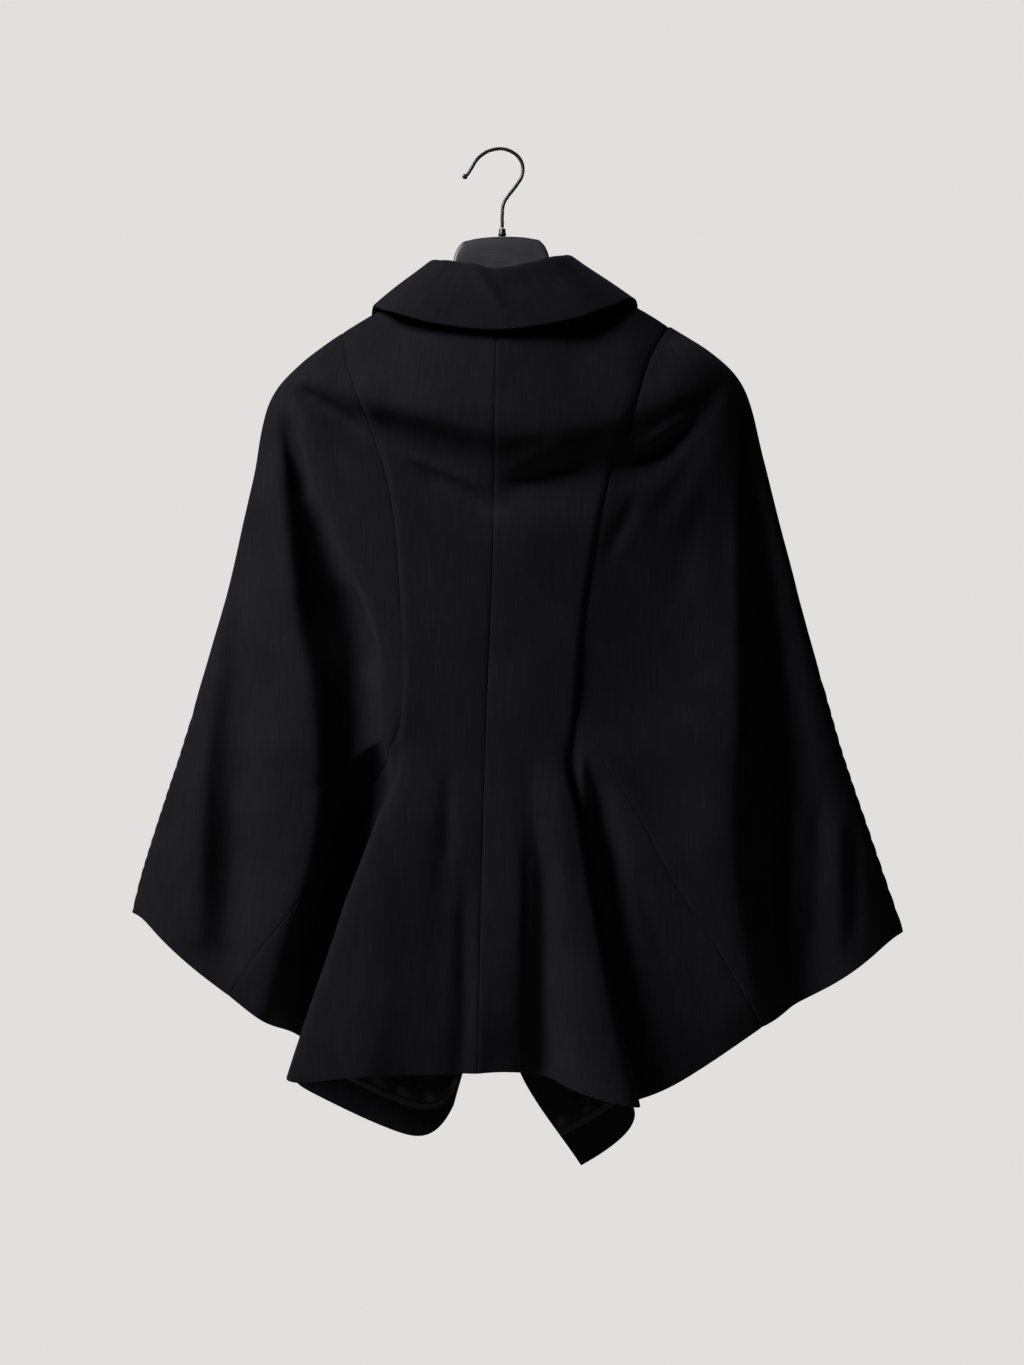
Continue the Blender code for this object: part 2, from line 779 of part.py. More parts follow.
def add_mesh(name, points, faces, look, collection):
    """One closed body from points in millimetres, its faces turned outwards."""
    mesh = bpy.data.meshes.new(name)
    mesh.from_pydata([tuple(float(v) * MM for v in point) for point in points], [], faces)
    shape = bmesh.new()
    shape.from_mesh(mesh)
    bmesh.ops.remove_doubles(shape, verts=shape.verts, dist=1e-7)
    bmesh.ops.recalc_face_normals(shape, faces=shape.faces)
    if shape.calc_volume(signed=True) < 0:
        bmesh.ops.reverse_faces(shape, faces=shape.faces)
    shape.to_mesh(mesh)
    shape.free()
    mesh.shade_smooth()
    mesh.set_sharp_from_angle(angle=math.radians(50))
    mesh.materials.append(material(look))
    made = bpy.data.objects.new(name, mesh)
    collection.objects.link(made)
    return made


def add_cloth(name, net, normals, look, collection, wall=WALL, moved=0.0):
    """A wall of cloth on a net, its middle moved outwards by the given distance."""
    rows, columns = net.shape[:2]
    outer = net + normals * (moved + wall / 2)
    inner = net + normals * (moved - wall / 2)
    points = np.concatenate([outer.reshape(-1, 3), inner.reshape(-1, 3)])
    layer = rows * columns

    def at(row, column, level):
        return level * layer + row * columns + column

    faces = []
    for row in range(rows - 1):
        for column in range(columns - 1):
            around = ((row, column), (row, column + 1), (row + 1, column + 1), (row + 1, column))
            faces.append([at(r, c, 0) for r, c in around])
            faces.append([at(r, c, 1) for r, c in reversed(around)])
    for row in range(rows - 1):
        for column in (0, columns - 1):
            faces.append([at(row, column, 0), at(row + 1, column, 0), at(row + 1, column, 1), at(row, column, 1)])
    for column in range(columns - 1):
        for row in (0, rows - 1):
            faces.append([at(row, column, 0), at(row, column + 1, 0), at(row, column + 1, 1), at(row, column, 1)])
    return add_mesh(name, points, faces, look, collection)


def add_coat(collection):
    nets = coat_nets()
    normals = joint_normals(nets)
    for name, net in parted(nets).items():
        add_cloth(name, net, normals[name], WOOL, collection)
    return nets, normals


def add_front_layer(name, net, normals, first_row, last_row, rows, look, collection):
    """A thin layer that lies inside a front between two levels, made from the front's own points."""
    levels = np.linspace(first_row, last_row, rows)
    places = np.interp(levels, ROWS, np.arange(len(ROWS)))
    low = np.minimum(places.astype(int), len(ROWS) - 2)
    share = (places - low)[:, None, None]
    width = slice(0, LAYER_COLUMNS)
    points = (net[low] * (1 - share) + net[low + 1] * share)[:, width]
    outward = (normals[low] * (1 - share) + normals[low + 1] * share)[:, width]
    outward /= np.linalg.norm(outward, axis=-1, keepdims=True)
    inwards = -(WALL / 2 + LAYER_GAP + LAYER_WALL / 2)
    return add_cloth(name, points, outward, look, collection, wall=LAYER_WALL, moved=inwards)


def add_front_layers(nets, normals, collection):
    for name in ("left", "right"):
        front = nets["front_" + name], normals["front_" + name]
        top = HEM - FACING_ROWS
        add_front_layer("facing_" + name, *front, top, HEM - HEM_INSET_ROWS, 3, WOOL, collection)
        lining_top = top - LINING_ROWS
        add_front_layer("lining_" + name, *front, lining_top, top - HEM_INSET_ROWS, 4, LINING, collection)


def collar_net(steps_round, steps_section):
    """The collar from the leaf's edge up over the roll and down the stand to the neck seam."""
    stations = np.arange(len(COLLAR))
    places = np.linspace(0, len(COLLAR) - 1, (len(COLLAR) - 1) * steps_round + 1)
    table = np.column_stack([stations, np.asarray(COLLAR, float)])
    values = along(table, places)
    neck, roll, edge = values[:, 0:3], values[:, 3:6], values[:, 6:9]
    fall = edge - roll
    size = np.minimum(np.linalg.norm(fall, axis=1, keepdims=True) / 3, ROLL_RADIUS)
    outward = fall.copy()
    outward[:, 2] = 0
    outward /= np.maximum(np.linalg.norm(outward, axis=1, keepdims=True), 1e-6)
    up = np.array([0, 0, 1.0])
    inward = neck - roll
    inward[:, 2] = 0
    raised = outward * 0.6 + up * 0.5
    controls = [
        edge,
        roll + fall * 0.66 + raised * COLLAR_BULGE * size / ROLL_RADIUS,
        roll + fall * 0.33 + raised * COLLAR_BULGE * size / ROLL_RADIUS,
        roll + outward * size,
        roll + up * size * 0.9,
        roll - outward * size - up * size * 0.5,
        neck + (roll - neck) * 0.5 - outward * size * 0.5,
        neck,
    ]
    return net_of(np.stack(controls, axis=1), steps_section)[0]


def add_collar(collection):
    net = collar_net(3, 2)
    across = np.gradient(net, axis=1)
    down = np.gradient(net, axis=0)
    normals = np.cross(across, down)
    normals /= np.linalg.norm(normals, axis=-1, keepdims=True)
    return add_cloth("collar", net, normals, WOOL, collection, wall=COLLAR_WALL)


def tilted(point):
    """A point of the hanger, turned about the hook's crown to the way it hangs."""
    x, y, z = point
    turn = HANGER_TILT
    return (x * math.cos(turn) - z * math.sin(turn), y, x * math.sin(turn) + z * math.cos(turn))


def add_hanger_body(collection):
    sides = 16
    rows = [(-x, top, bottom, depth) for x, top, bottom, depth in reversed(HANGER[1:])] + list(HANGER)
    points = []
    for x, top, bottom, depth in rows:
        centre, height = (top + bottom) / 2, (top - bottom) / 2
        for i in range(sides):
            turn = 2 * math.pi * (i + 0.5) / sides
            round_y = math.copysign(abs(math.cos(turn)) ** 0.8, math.cos(turn))
            round_z = math.copysign(abs(math.sin(turn)) ** 0.5, math.sin(turn))
            points.append(tilted((x, depth * round_y, centre + height * round_z)))
    faces = []
    for ring in range(len(rows) - 1):
        for i in range(sides):
            here, there = ring * sides, (ring + 1) * sides
            faces.append([here + i, here + (i + 1) % sides, there + (i + 1) % sides, there + i])
    faces.append(list(range(sides))[::-1])
    faces.append([(len(rows) - 1) * sides + i for i in range(sides)])
    return add_mesh("hanger_body", points, faces, PLASTIC, collection)


def add_ferrule(collection):
    height = FERRULE_TOP - FERRULE_BOTTOM
    bpy.ops.mesh.primitive_cylinder_add(
        vertices=20,
        radius=FERRULE_RADIUS * MM,
        depth=height * MM,
        location=(HOOK[0][0] * MM, 0, (FERRULE_TOP + FERRULE_BOTTOM) / 2 * MM),
    )
    made = bpy.context.object
    made.name = "hanger_ferrule"
    made.data.materials.append(material(WIRE))
    for holder in list(made.users_collection):
        holder.objects.unlink(made)
    collection.objects.link(made)
    return made


def add_hook(collection):
    table = [(i, x, 0.0, z) for i, (x, z) in enumerate(HOOK)]
    places = np.linspace(0, len(HOOK) - 1, (len(HOOK) - 1) * 3 + 1)
    route = along(table, places)
    curve = bpy.data.curves.new("hanger_hook", "CURVE")
    curve.dimensions = "3D"
    curve.bevel_depth = HOOK_WIRE / 2 * MM
    curve.bevel_resolution = 2
    curve.use_fill_caps = True
    spline = curve.splines.new("POLY")
    spline.points.add(len(route) - 1)
    for point, place in zip(spline.points, route):
        point.co = (*(place * MM), 1)
    last = len(route) - 1
    for back_from_tip in range(4):
        swell = math.sqrt(1 - (abs(back_from_tip - 1.2) / 3.2) ** 2)
        spline.points[last - back_from_tip].radius = max(1.0, swell * HOOK_TIP_BALL / HOOK_WIRE)
    spline.points[last].radius = 1.0
    curve.materials.append(material(WIRE))
    made = bpy.data.objects.new("hanger_hook", curve)
    collection.objects.link(made)
    return made


def main():
    for old in list(bpy.data.objects):
        bpy.data.objects.remove(old)
    collection = bpy.data.collections.new("cape_coat")
    bpy.context.scene.collection.children.link(collection)
    nets, normals = add_coat(collection)
    add_front_layers(nets, normals, collection)
    add_collar(collection)
    add_hanger_body(collection)
    add_ferrule(collection)
    add_hook(collection)


main()
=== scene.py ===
"""The looks of the cape coat on its hanger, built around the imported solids.

Cloth is worked out in millimetres from seam tables like those of the solids, on a finer net, and
becomes metres when its mesh is made. +Z is up, +X is to the right of someone who looks at the coat's
back, and its front faces +Y.
"""

import math

import bmesh
import bpy
import numpy as np
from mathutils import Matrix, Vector, noise


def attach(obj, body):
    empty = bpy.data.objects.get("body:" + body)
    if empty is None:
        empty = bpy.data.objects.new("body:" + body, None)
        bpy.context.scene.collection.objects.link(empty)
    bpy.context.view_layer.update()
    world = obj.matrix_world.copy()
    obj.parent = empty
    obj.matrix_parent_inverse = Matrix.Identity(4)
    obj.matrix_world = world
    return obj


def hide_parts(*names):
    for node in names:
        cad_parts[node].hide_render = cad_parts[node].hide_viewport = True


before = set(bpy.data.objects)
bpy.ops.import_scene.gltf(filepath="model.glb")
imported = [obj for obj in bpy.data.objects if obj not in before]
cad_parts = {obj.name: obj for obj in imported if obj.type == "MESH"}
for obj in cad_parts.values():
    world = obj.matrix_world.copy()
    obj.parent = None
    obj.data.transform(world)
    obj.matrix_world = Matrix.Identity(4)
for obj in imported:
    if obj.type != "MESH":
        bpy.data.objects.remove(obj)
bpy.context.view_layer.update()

MM = 0.001
LEFT, RIGHT = -1, 1
SIDES = ((LEFT, "left"), (RIGHT, "right"))

# The cloth's thickness in each kind of piece, and the gap between a front and the layer inside it
WALL, COLLAR_WALL, LAYER_WALL = 1.8, 2.2, 1.0
BINDING_WALL, LINING_WALL = 0.5, 0.6
LAYER_GAP = 0.5

# Rows of the seam tables, and how far down the cloth each one lies
WAIST, HEM = 5, 10
LEVELS_DOWN = (0, 42, 92, 160, 262, 378, 424, 484, 544, 602, 658)

# The fine net: its rows, closer together at the hem, where the cloth turns under, and its columns,
# with steps beside both edges that shrink where a row is narrow
ROWS = np.concatenate([np.arange(0, 10, 1 / 16), [9.97, 9.99, 10.0]])
TRUNK_COLUMNS, WING_COLUMNS, GORE_COLUMNS = 60, 96, 34
COLLAR_COLUMNS, COLLAR_ROWS = 260, 44
EDGE_STEPS = (0.7, 1.6, 3.0, 5.0)
NARROW_ROW = 60.0
SPAN_SAMPLES = 60
FOLD_SAMPLES = 16

# How an edge row's own points fade into the rows near it: the power, and the reach in rows
EDGE_BLEND = 1.5
TOP_REACH, HEM_REACH = 2.0, 3.0

# Backs and fronts: where their inner lines lie between the centre and the seam, and how full they are
PANEL_SHARES = (0.3, 0.55, 0.75, 0.88, 0.95)
PANEL_FULLNESS = 3.0
# The flutes below the waist. Rise and tuck are shares of the radius.
FLUTE_RADIUS = 7.0
FLUTE_RISE, FLUTE_TUCK, FLUTE_LIP = 0.8, 1.3, 2.0
FLUTE_SHARES = (0.35, 0.7)
FLUTE_ROWS = 1.6

# The wings. Columns of the two tables: share of the way to the outer fold, bulge along Y and, on the
# front half, how much of it goes at the waist
WING_BACK = ((0.25, -3), (0.55, -8), (0.82, -7))
WING_FRONT = ((0.72, 6, 5), (0.35, 5, 10))
WING_FOLD_RADIUS, WING_FOLD_LIP = 11.0, 0.25
SHOULDER_ROWS = 1.5
FULLER_FROM, FULLER_ROWS, LOWER_FULLNESS = 3, 3, 0.55
TUCKED_FROM, TUCKED_ROWS = 4, 2
# The lowest rows of wings and gores sag by these distances, each line by its share
DROP_FROM, DROP_ROWS = 8, 2
WING_DROP = {LEFT: 4.0, RIGHT: 7.0}
WING_DROP_SHARES = (0.9, 1.0, 0.8, 0.4)
GORE_DROP = {LEFT: 13.0, RIGHT: 12.0}
GORE_DEPTH = {LEFT: 4.0, RIGHT: 3.0}
GORE_ROWS = 2
# Lines of a gore. Columns: share of the way from seam to diagonal, share of its depth and of its sag
GORE_LINES = ((0.25, 1.0, 1.0), (0.5, 1.0, 0.9), (0.75, 0.3, 0.5))

# Where the broad folds fade out: in rows below the waist, and in shares of a panel's width
WAIST_FADE_ROWS = 1.4
FAR_SEAM_FADE, WING_SEAM_FADE, GORE_SEAM_FADE = 0.15, 0.07, 0.35
BACK_HALF_END, FRONT_HALF_START, HALF_FADE = 0.52, 0.5, 0.2

# The smaller creases' ends, the unevenness of hung cloth, calmer at seams, and the seams' grooves
CREASE_TAPER, CREASE_PAST = 0.3, 0.1
SWELL_SIZE, SWELL = 75.0, 1.0
RIPPLE_SIZE, RIPPLE = 24.0, 0.14
RIPPLE_PLACE = (7.3, 1.9, 4.1)
CALM_WIDTH, CALM_SHARE = 20, 0.3
SEAM_DIP, SEAM_DIP_WIDTH = 0.45, 2.6
EDGE_ROLL = 0.5
FOLD_LINE_REACH = 8

# The layers inside the fronts' hems, in rows of the front and as a share of its width
FACING_ROWS, LINING_ROWS, BINDING_ROWS, HEM_INSET_ROWS = 0.34, 1.1, 0.045, 0.012
LAYER_SHARE = 8 / 12
FACING_STEPS, LINING_STEPS, BINDING_STEPS = 18, 40, 7
BINDING_LAP = 0.4
LONG_PLEAT, SHORT_PLEAT, PLEAT_DEPTH = 4.1, 2.3, 1.3
PLEAT_SHARE, PLEAT_SHIFT, PLEAT_LEAST = 0.6, 1.7, 1.2
PLEAT_TOP, PLEAT_FOOT = 0.2, 0.15

# The collar. Its dents lie only on the leaf's back, and its unevenness fades out at the leaf's edge.
COLLAR_BULGE, ROLL_RADIUS = 2.5, 4.0
LEAF_SHARES, LEAF_OUT, LEAF_UP = (0.66, 0.33), 0.6, 0.5
ROLL_TOP, ROLL_INSIDE = 0.9, 0.5
STAND_SHARE, STAND_IN = 0.5, 0.5
COLLAR_BACK = -30
COLLAR_UNEVENNESS, COLLAR_EDGE = 0.6, 6.0

# The hanger: its tilt, its net, where its head ends, and how square its section is
HANGER_TILT = math.radians(1.3)
HANGER_PARTS, HANGER_SIDES = 5, 48
HEAD_END, HEAD_FADE = 52, 10
ARM_FACE, HEAD_FLATTER, HANGER_EDGE = 0.8, 0.38, 0.5
HOOK_WIRE, HOOK_TIP_BALL, TIP_END = 3.2, 5.0, 0.05
HOOK_SAMPLES, HOOK_SIDES = 10, 20
FERRULE_RADIUS, FERRULE_SIDES = 3.6, 32

WELD = 1e-7
SHARP_ANGLE = math.radians(55)

# Materials. Cloth textures are laid out in millimetres.
WEAVE_MAP = "cloth"
# A wave texture's bands repeat at this length for a scale of 1.
WAVE_PERIOD = math.pi / 10
TWILL_RIB, CROSS_YARN, SATIN_THREAD = 0.75, 0.5, 0.3
TWILL_TURN = math.radians(-32)
SLUB_STRETCH = (0.45, 0.035, 1)
WOOL_DARK, WOOL_LIGHT = (0.0056, 0.0056, 0.0063), (0.0080, 0.0080, 0.0087)
LINT_SHARE = 0.006
LINT_COLOUR = (0.05, 0.05, 0.055, 1)
# Dark and light colour, and roughness
LINING_SATIN = ((0.004, 0.004, 0.005), (0.007, 0.007, 0.008), 0.32)
# The binding's lighter colour is a painted highlight, standing in for the light that the binding's folded
# edge catches
PAINTED_HIGHLIGHT_BINDING = ((0.018, 0.018, 0.020), (0.026, 0.026, 0.029), 0.42)
PLASTIC_DARK, PLASTIC_LIGHT = (0.020, 0.020, 0.020), (0.027, 0.027, 0.027)
WIRE_DARK, WIRE_LIGHT = (0.012, 0.012, 0.013), (0.035, 0.034, 0.034)

# The camera and the studio, in metres
SENSOR = 36
CAMERA_X, CAMERA_Z, CAMERA_AWAY = 0.0117, -0.47835, 1.85
VIEW_HEIGHT = 1.2285
MIDDLE = (0, 0, -0.5)
FLOOR_RADIUS, FLOOR_Z, FLOOR_SIDES = 1.5, -1.65, 96
FLOOR_COLOUR = (0.72, 0.71, 0.69, 1)
SURROUND_COLOUR = (0.755, 0.745, 0.728, 1)
AMBIENT_COLOUR, AMBIENT = (0.80, 0.86, 1.0, 1), 0.005
# Columns: name, place, size, power, colour
LIGHTS = (
    ("window", (-1.8, -1.1, 1.15), 1.0, 129.0, (0.94, 0.91, 1.0)),
    ("room", (1.6, -1.9, -0.2), 2.2, 1.6, (1.0, 0.93, 0.80)),
    ("behind", (0.3, 2.5, 0.1), 1.6, 70.0, (1.0, 0.98, 0.95)),
)

# The cut of each cloth piece, filled in as the pieces are made
CUTS = {}


def both_sides(*rows):
    """A seam or fold of each side, from rows that hold the left one's point and then the right one's."""
    return {LEFT: tuple(row[:4] for row in rows), RIGHT: tuple(row[:1] + row[4:] for row in rows)}


# Columns: row, x, y, z
CENTRE_BACK = (
    (0, 1, -38, -143), (1, -2, -53, -183), (2, -3, -61, -232), (3, -4, -58, -302),
    (4, -6, -53, -397), (5, -11, -54, -515), (6, -13, -60, -581), (7, -15, -67, -650),
    (8, -16, -73, -710), (9, -17, -79, -765), (10, -18, -82, -815),
)
# Columns: row, then x, y and z on the left, then x, y and z on the right
BACK_SEAM = both_sides(
    (0, -141, -2, -165, 152, -2, -159),
    (1, -134, -26, -198, 134, -28, -192),
    (2, -117, -44, -245, 114, -46, -257),
    (3, -98, -48, -301, 98, -49, -297),
    (4, -87, -47, -397, 78, -46, -406),
    (5, -87, -50, -517, 67, -50, -516),
    (6, -91, -44, -568, 62, -48, -568),
    (7, -100, -38, -626, 65, -54, -634),
    (8, -112, -34, -688, 73, -63, -700),
    (9, -126, -32, -750, 84, -72, -765),
    (10, -140, -32, -804, 101, -75, -843),
)
FLUTE = both_sides(
    (5, -87, -50, -517, 67, -50, -516),
    (6, -98, -60, -569, 68, -58, -568),
    (7, -117, -68, -624, 76, -67, -629),
    (8, -139, -75, -684, 87, -76, -692),
    (9, -162, -79, -750, 102, -84, -761),
    (10, -186, -78, -821, 122, -88, -843),
)
DIAGONAL = both_sides(
    (5, -87, -50, -517, 67, -50, -516),
    (6, -112, -36, -565, 91, -52, -546),
    (7, -146, -34, -623, 121, -52, -592),
    (8, -184, -34, -681, 155, -50, -655),
    (9, -213, -33, -717, 190, -46, -709),
    (10, -239, -31, -755, 232, -38, -782),
)
OUTER_FOLD = both_sides(
    (0, -141, 0, -165, 152, 0, -158),
    (1, -179, 0, -192, 191, 0, -181),
    (2, -206, 3, -222, 220, 3, -210),
    (3, -223, 7, -295, 240, 7, -277),
    (4, -248, 10, -400, 264, 10, -368),
    (5, -280, 10, -510, 296, 10, -487),
    (6, -291, 10, -547, 308, 10, -528),
    (7, -303, 10, -583, 321, 10, -567),
    (8, -315, 10, -621, 335, 10, -610),
    (9, -325, 10, -654, 351, 10, -656),
    (10, -333, 10, -686, 367, 10, -703),
)
FRONT_SEAM = both_sides(
    (0, -141, 2, -165, 152, 2, -159),
    (1, -136, 24, -194, 136, 24, -188),
    (2, -117, 38, -238, 113, 38, -248),
    (3, -99, 42, -295, 98, 42, -289),
    (4, -89, 41, -393, 79, 41, -402),
    (5, -89, 44, -519, 68, 44, -518),
    (6, -90, 35, -572, 62, 35, -572),
    (7, -94, 29, -632, 62, 29, -641),
    (8, -102, 23, -696, 66, 23, -709),
    (9, -114, 18, -759, 74, 18, -777),
    (10, -128, 15, -810, 86, 15, -838),
)
FRONT_FLUTE = both_sides(
    (5, -89, 44, -519, 68, 44, -518),
    (6, -96, 48, -573, 67, 48, -573),
    (7, -113, 52, -631, 73, 52, -643),
    (8, -136, 52, -694, 83, 52, -712),
    (9, -163, 50, -768, 98, 50, -790),
    (10, -189, 46, -842, 120, 46, -876),
)
FRONT_EDGE = both_sides(
    (0, -56, 0, -124, 62, 0, -124),
    (1, -49, 30, -172, 54, 30, -172),
    (2, -41, 42, -236, 43, 42, -236),
    (3, -32, 49, -310, 32, 49, -310),
    (4, -18, 53, -411, 14, 53, -411),
    (5, -5, 55, -520, -3, 55, -520),
    (6, -6, 54, -587, -2, 54, -587),
    (7, -10, 50, -661, -1, 50, -661),
    (8, -15, 46, -734, 2, 46, -762),
    (9, -24, 40, -800, 20, 40, -839),
    (10, -42, 34, -866, 75, 34, -921),
)

# The inner points of the edge rows, from the centre out to the seam. Columns: x, y, z
BACK_NECK = {
    LEFT: ((-36, -38, -134), (-58, -6, -119), (-86, -2, -133), (-104, -2, -142), (-122, -2, -153)),
    RIGHT: ((38, -38, -132), (64, -8, -117), (92, -10, -129), (112, -12, -138), (132, -8, -147)),
}
BACK_HEM = {
    LEFT: ((-62, -88, -815), (-118, -95, -813), (-168, -88, -824), (-189, -77, -821), (-178, -64, -818)),
    RIGHT: ((24, -64, -813), (66, -92, -831), (108, -101, -839), (126, -89, -844), (118, -72, -842)),
}
FRONT_SHOULDER = {
    LEFT: ((-72, 4, -122), (-88, 4, -132), (-104, 4, -144), (-118, 4, -153), (-130, 3, -159)),
    RIGHT: ((78, 3, -120), (96, 3, -129), (112, 2, -137), (128, 1, -145), (140, 1, -152)),
}
FRONT_HEM = {
    LEFT: ((-58, 34, -900), (-92, 36, -894), (-170, 44, -858), (-196, 44, -844), (-178, 32, -836)),
    RIGHT: ((90, 36, -913), (105, 40, -904), (122, 46, -890), (127, 44, -875), (117, 32, -858)),
}

# The broad folds, each a smooth line through its stations. "upper" folds cross the back and the
# wings, "lower" ones run down the back below the waist, "wing" ones shape a wing and its gore, and
# "front" ones a wing's front half. Columns: x, z, depth, half width on its left or lower side, half
# width on its right or upper side. A positive depth is a trough seen from outside, a negative one a
# ridge.
FOLDS = (
    ("upper", (
        (-184, -214, 2, 9, 9), (-158, -232, 11, 16, 10), (-131, -252, 17, 20, 15),
        (-98, -270, 20, 24, 19), (-60, -289, 20, 26, 22), (-25, -307, 17, 26, 24),
        (2, -313, 13, 26, 24), (36, -303, 11, 28, 22), (80, -290, 8, 26, 20),
        (115, -286, 8, 18, 16), (138, -277, 10, 15, 12), (160, -258, 9, 13, 11),
        (178, -238, 6, 12, 10), (194, -219, 2, 9, 9),
    )),
    ("upper", (
        (-168, -208, -3, 12, 16), (-134, -221, -10, 13, 24), (-100, -231, -14, 14, 30),
        (-50, -246, -17, 16, 36), (0, -262, -14, 16, 40), (50, -258, -9, 15, 40),
        (95, -248, -6, 14, 34), (150, -226, -3, 12, 20),
    )),
    ("wing", (
        (-192, -238, 2, 7, 8), (-181, -277, 10, 9, 9), (-170, -316, 18, 14, 10),
        (-156, -361, 24, 19, 11), (-142, -405, 29, 23, 12), (-129, -450, 30, 25, 13),
        (-123, -494, 29, 24, 15), (-118, -538, 29, 24, 16), (-120, -583, 28, 22, 18),
        (-131, -627, 31, 20, 22), (-143, -671, 32, 20, 24), (-158, -716, 31, 18, 24),
        (-173, -760, 28, 18, 24), (-184, -800, 26, 18, 24),
    )),
    ("wing", (
        (-200, -300, -3, 20, 9), (-189, -361, -8, 32, 11), (-182, -405, -11, 40, 12),
        (-174, -450, -13, 44, 13), (-164, -494, -15, 46, 13), (-159, -538, -17, 48, 13),
        (-159, -583, -18, 48, 12), (-163, -627, -18, 46, 12), (-175, -671, -17, 42, 12),
        (-190, -715, -14, 36, 12), (-201, -765, -10, 30, 12),
    )),
    ("wing", (
        (-229, -380, 2, 12, 18), (-233, -440, 6, 15, 20), (-235, -512, 11, 17, 22),
        (-236, -584, 14, 18, 22), (-237, -655, 14, 18, 22), (-238, -712, 7, 16, 20),
    )),
    ("wing", (
        (-252, -420, -1, 14, 8), (-262, -520, -5, 16, 9), (-265, -620, -6, 18, 9),
        (-264, -700, -3, 16, 9),
    )),
    ("wing", (
        (227, -254, 2, 8, 10), (229, -299, 6, 10, 14), (235, -352, 11, 14, 18),
        (239, -405, 15, 17, 20), (243, -450, 19, 19, 22), (246, -494, 22, 20, 26),
        (249, -538, 25, 21, 30), (250, -583, 27, 21, 34), (251, -627, 28, 21, 36),
        (253, -671, 28, 20, 36), (258, -716, 26, 18, 34), (264, -762, 23, 17, 32),
    )),
    ("wing", (
        (206, -330, -1, 30, 13), (207, -400, -5, 34, 14), (206, -460, -8, 36, 15),
        (204, -520, -11, 40, 15), (203, -600, -12, 42, 15), (208, -680, -11, 40, 15),
        (222, -750, -8, 36, 15),
    )),
    ("wing", (
        (81, -550, 1, 6, 10), (89, -581, 7, 7, 12), (93, -624, 11, 8, 14), (98, -668, 10, 9, 15),
        (105, -712, 8, 10, 16), (114, -764, 5, 12, 18), (122, -816, 3, 14, 20),
    )),
    ("lower", (
        (27, -555, 1, 10, 9), (32, -607, 6, 13, 9), (39, -650, 13, 15, 11), (40, -710, 17, 16, 13),
        (40, -763, 18, 17, 16), (41, -815, 18, 18, 18),
    )),
    ("lower", (
        (-42, -555, 1, 10, 9), (-46, -624, 3, 12, 10), (-48, -690, 2, 14, 10),
        (-50, -760, 1, 14, 10),
    )),
    ("lower", (
        (-29, -640, 1, 8, 8), (-30, -710, 3, 9, 9), (-32, -815, 4, 10, 9),
    )),
    ("lower", (
        (-100, -650, -1, 14, 14), (-105, -740, -3, 18, 16), (-112, -815, -4, 20, 16),
    )),
    ("front", (
        (-176, -250, 2, 10, 12), (-160, -330, 6, 12, 18), (-140, -420, 9, 14, 22),
        (-124, -500, 9, 16, 20), (-126, -590, 5, 16, 18),
    )),
    ("front", (
        (-236, -420, 2, 10, 16), (-246, -520, 5, 12, 20), (-252, -610, 4, 12, 20),
        (-254, -690, 2, 12, 18),
    )),
    ("front", (
        (186, -262, 2, 12, 9), (172, -350, 6, 18, 12), (150, -430, 9, 22, 14),
        (122, -505, 8, 20, 15), (116, -600, 4, 18, 15),
    )),
    ("front", (
        (238, -350, 2, 16, 10), (250, -470, 6, 20, 12), (256, -580, 5, 22, 14),
        (268, -700, 3, 20, 14),
    )),
)

# The smaller creases of each kind of panel, and of the wings' front halves. Columns: x and z at the
# start, x and z at the end, half width, depth
CREASES = {
    "back": (
        (-126, -243, 4, -286, 9, 4.5), (-108, -268, 6, -312, 7, -4.0), (-78, -287, 6, -334, 7, 4.5),
        (-45, -555, -43, -640, 6, 1.4), (-32, -652, -25, -806, 6, 1.6),
        (-100, -700, -112, -800, 9, 1.0), (4, -292, 66, -266, 8, -3.5), (0, -310, 80, -284, 7, 2.2),
        (24, -610, 26, -800, 4, 1.4), (52, -560, 60, -700, 7, -1.2),
    ),
    "cape": (
        (-192, -211, -110, -258, 7, 6.0), (-193, -232, -172, -320, 9, 5.5),
        (-168, -306, -120, -430, 12, 4.5), (-142, -384, -106, -472, 12, 6.0),
        (-128, -396, -100, -604, 11, 8.0), (-199, -260, -176, -450, 8, -2.5),
        (-150, -262, -126, -330, 7, 1.4), (-231, -335, -243, -511, 9, 1.3),
        (-292, -560, -300, -650, 7, 1.2), (117, -290, 168, -250, 5, 2.6),
        (124, -262, 178, -226, 6, 1.8), (116, -279, 176, -237, 5, -2.5),
        (199, -235, 133, -345, 10, 1.8), (124, -312, 92, -372, 6, 2.4),
        (186, -300, 150, -420, 11, 1.2), (211, -290, 212, -600, 8, -2.8),
        (256, -560, 247, -748, 6, 2.6), (271, -560, 262, -745, 6, -4.0),
        (288, -570, 276, -742, 6, 4.5), (303, -590, 300, -735, 6, -3.0),
        (318, -600, 318, -720, 6, 2.5),
    ),
    "side": (
        (-128, -396, -100, -604, 11, 8.0), (-150, -640, -176, -740, 8, 1.4),
        (74, -535, 72, -612, 4.5, -2.5), (84, -575, 92, -650, 7, 1.5),
        (118, -640, 150, -740, 7, 1.4),
    ),
    "front": (
        (-40, -300, -64, -470, 9, 1.6), (-78, -210, -96, -330, 8, 1.8),
        (-70, -560, -86, -800, 8, 2.0), (46, -280, 62, -440, 9, 1.7), (84, -215, 90, -340, 8, 1.6),
        (60, -580, 66, -820, 8, 1.9),
    ),
    "cape_front": (
        (-160, -280, -170, -470, 9, 1.8), (-196, -420, -212, -640, 10, 2.2),
        (-270, -480, -286, -650, 8, 1.5), (158, -270, 172, -450, 9, 1.7),
        (204, -440, 222, -660, 10, 2.0), (284, -520, 298, -690, 8, 1.6),
    ),
}

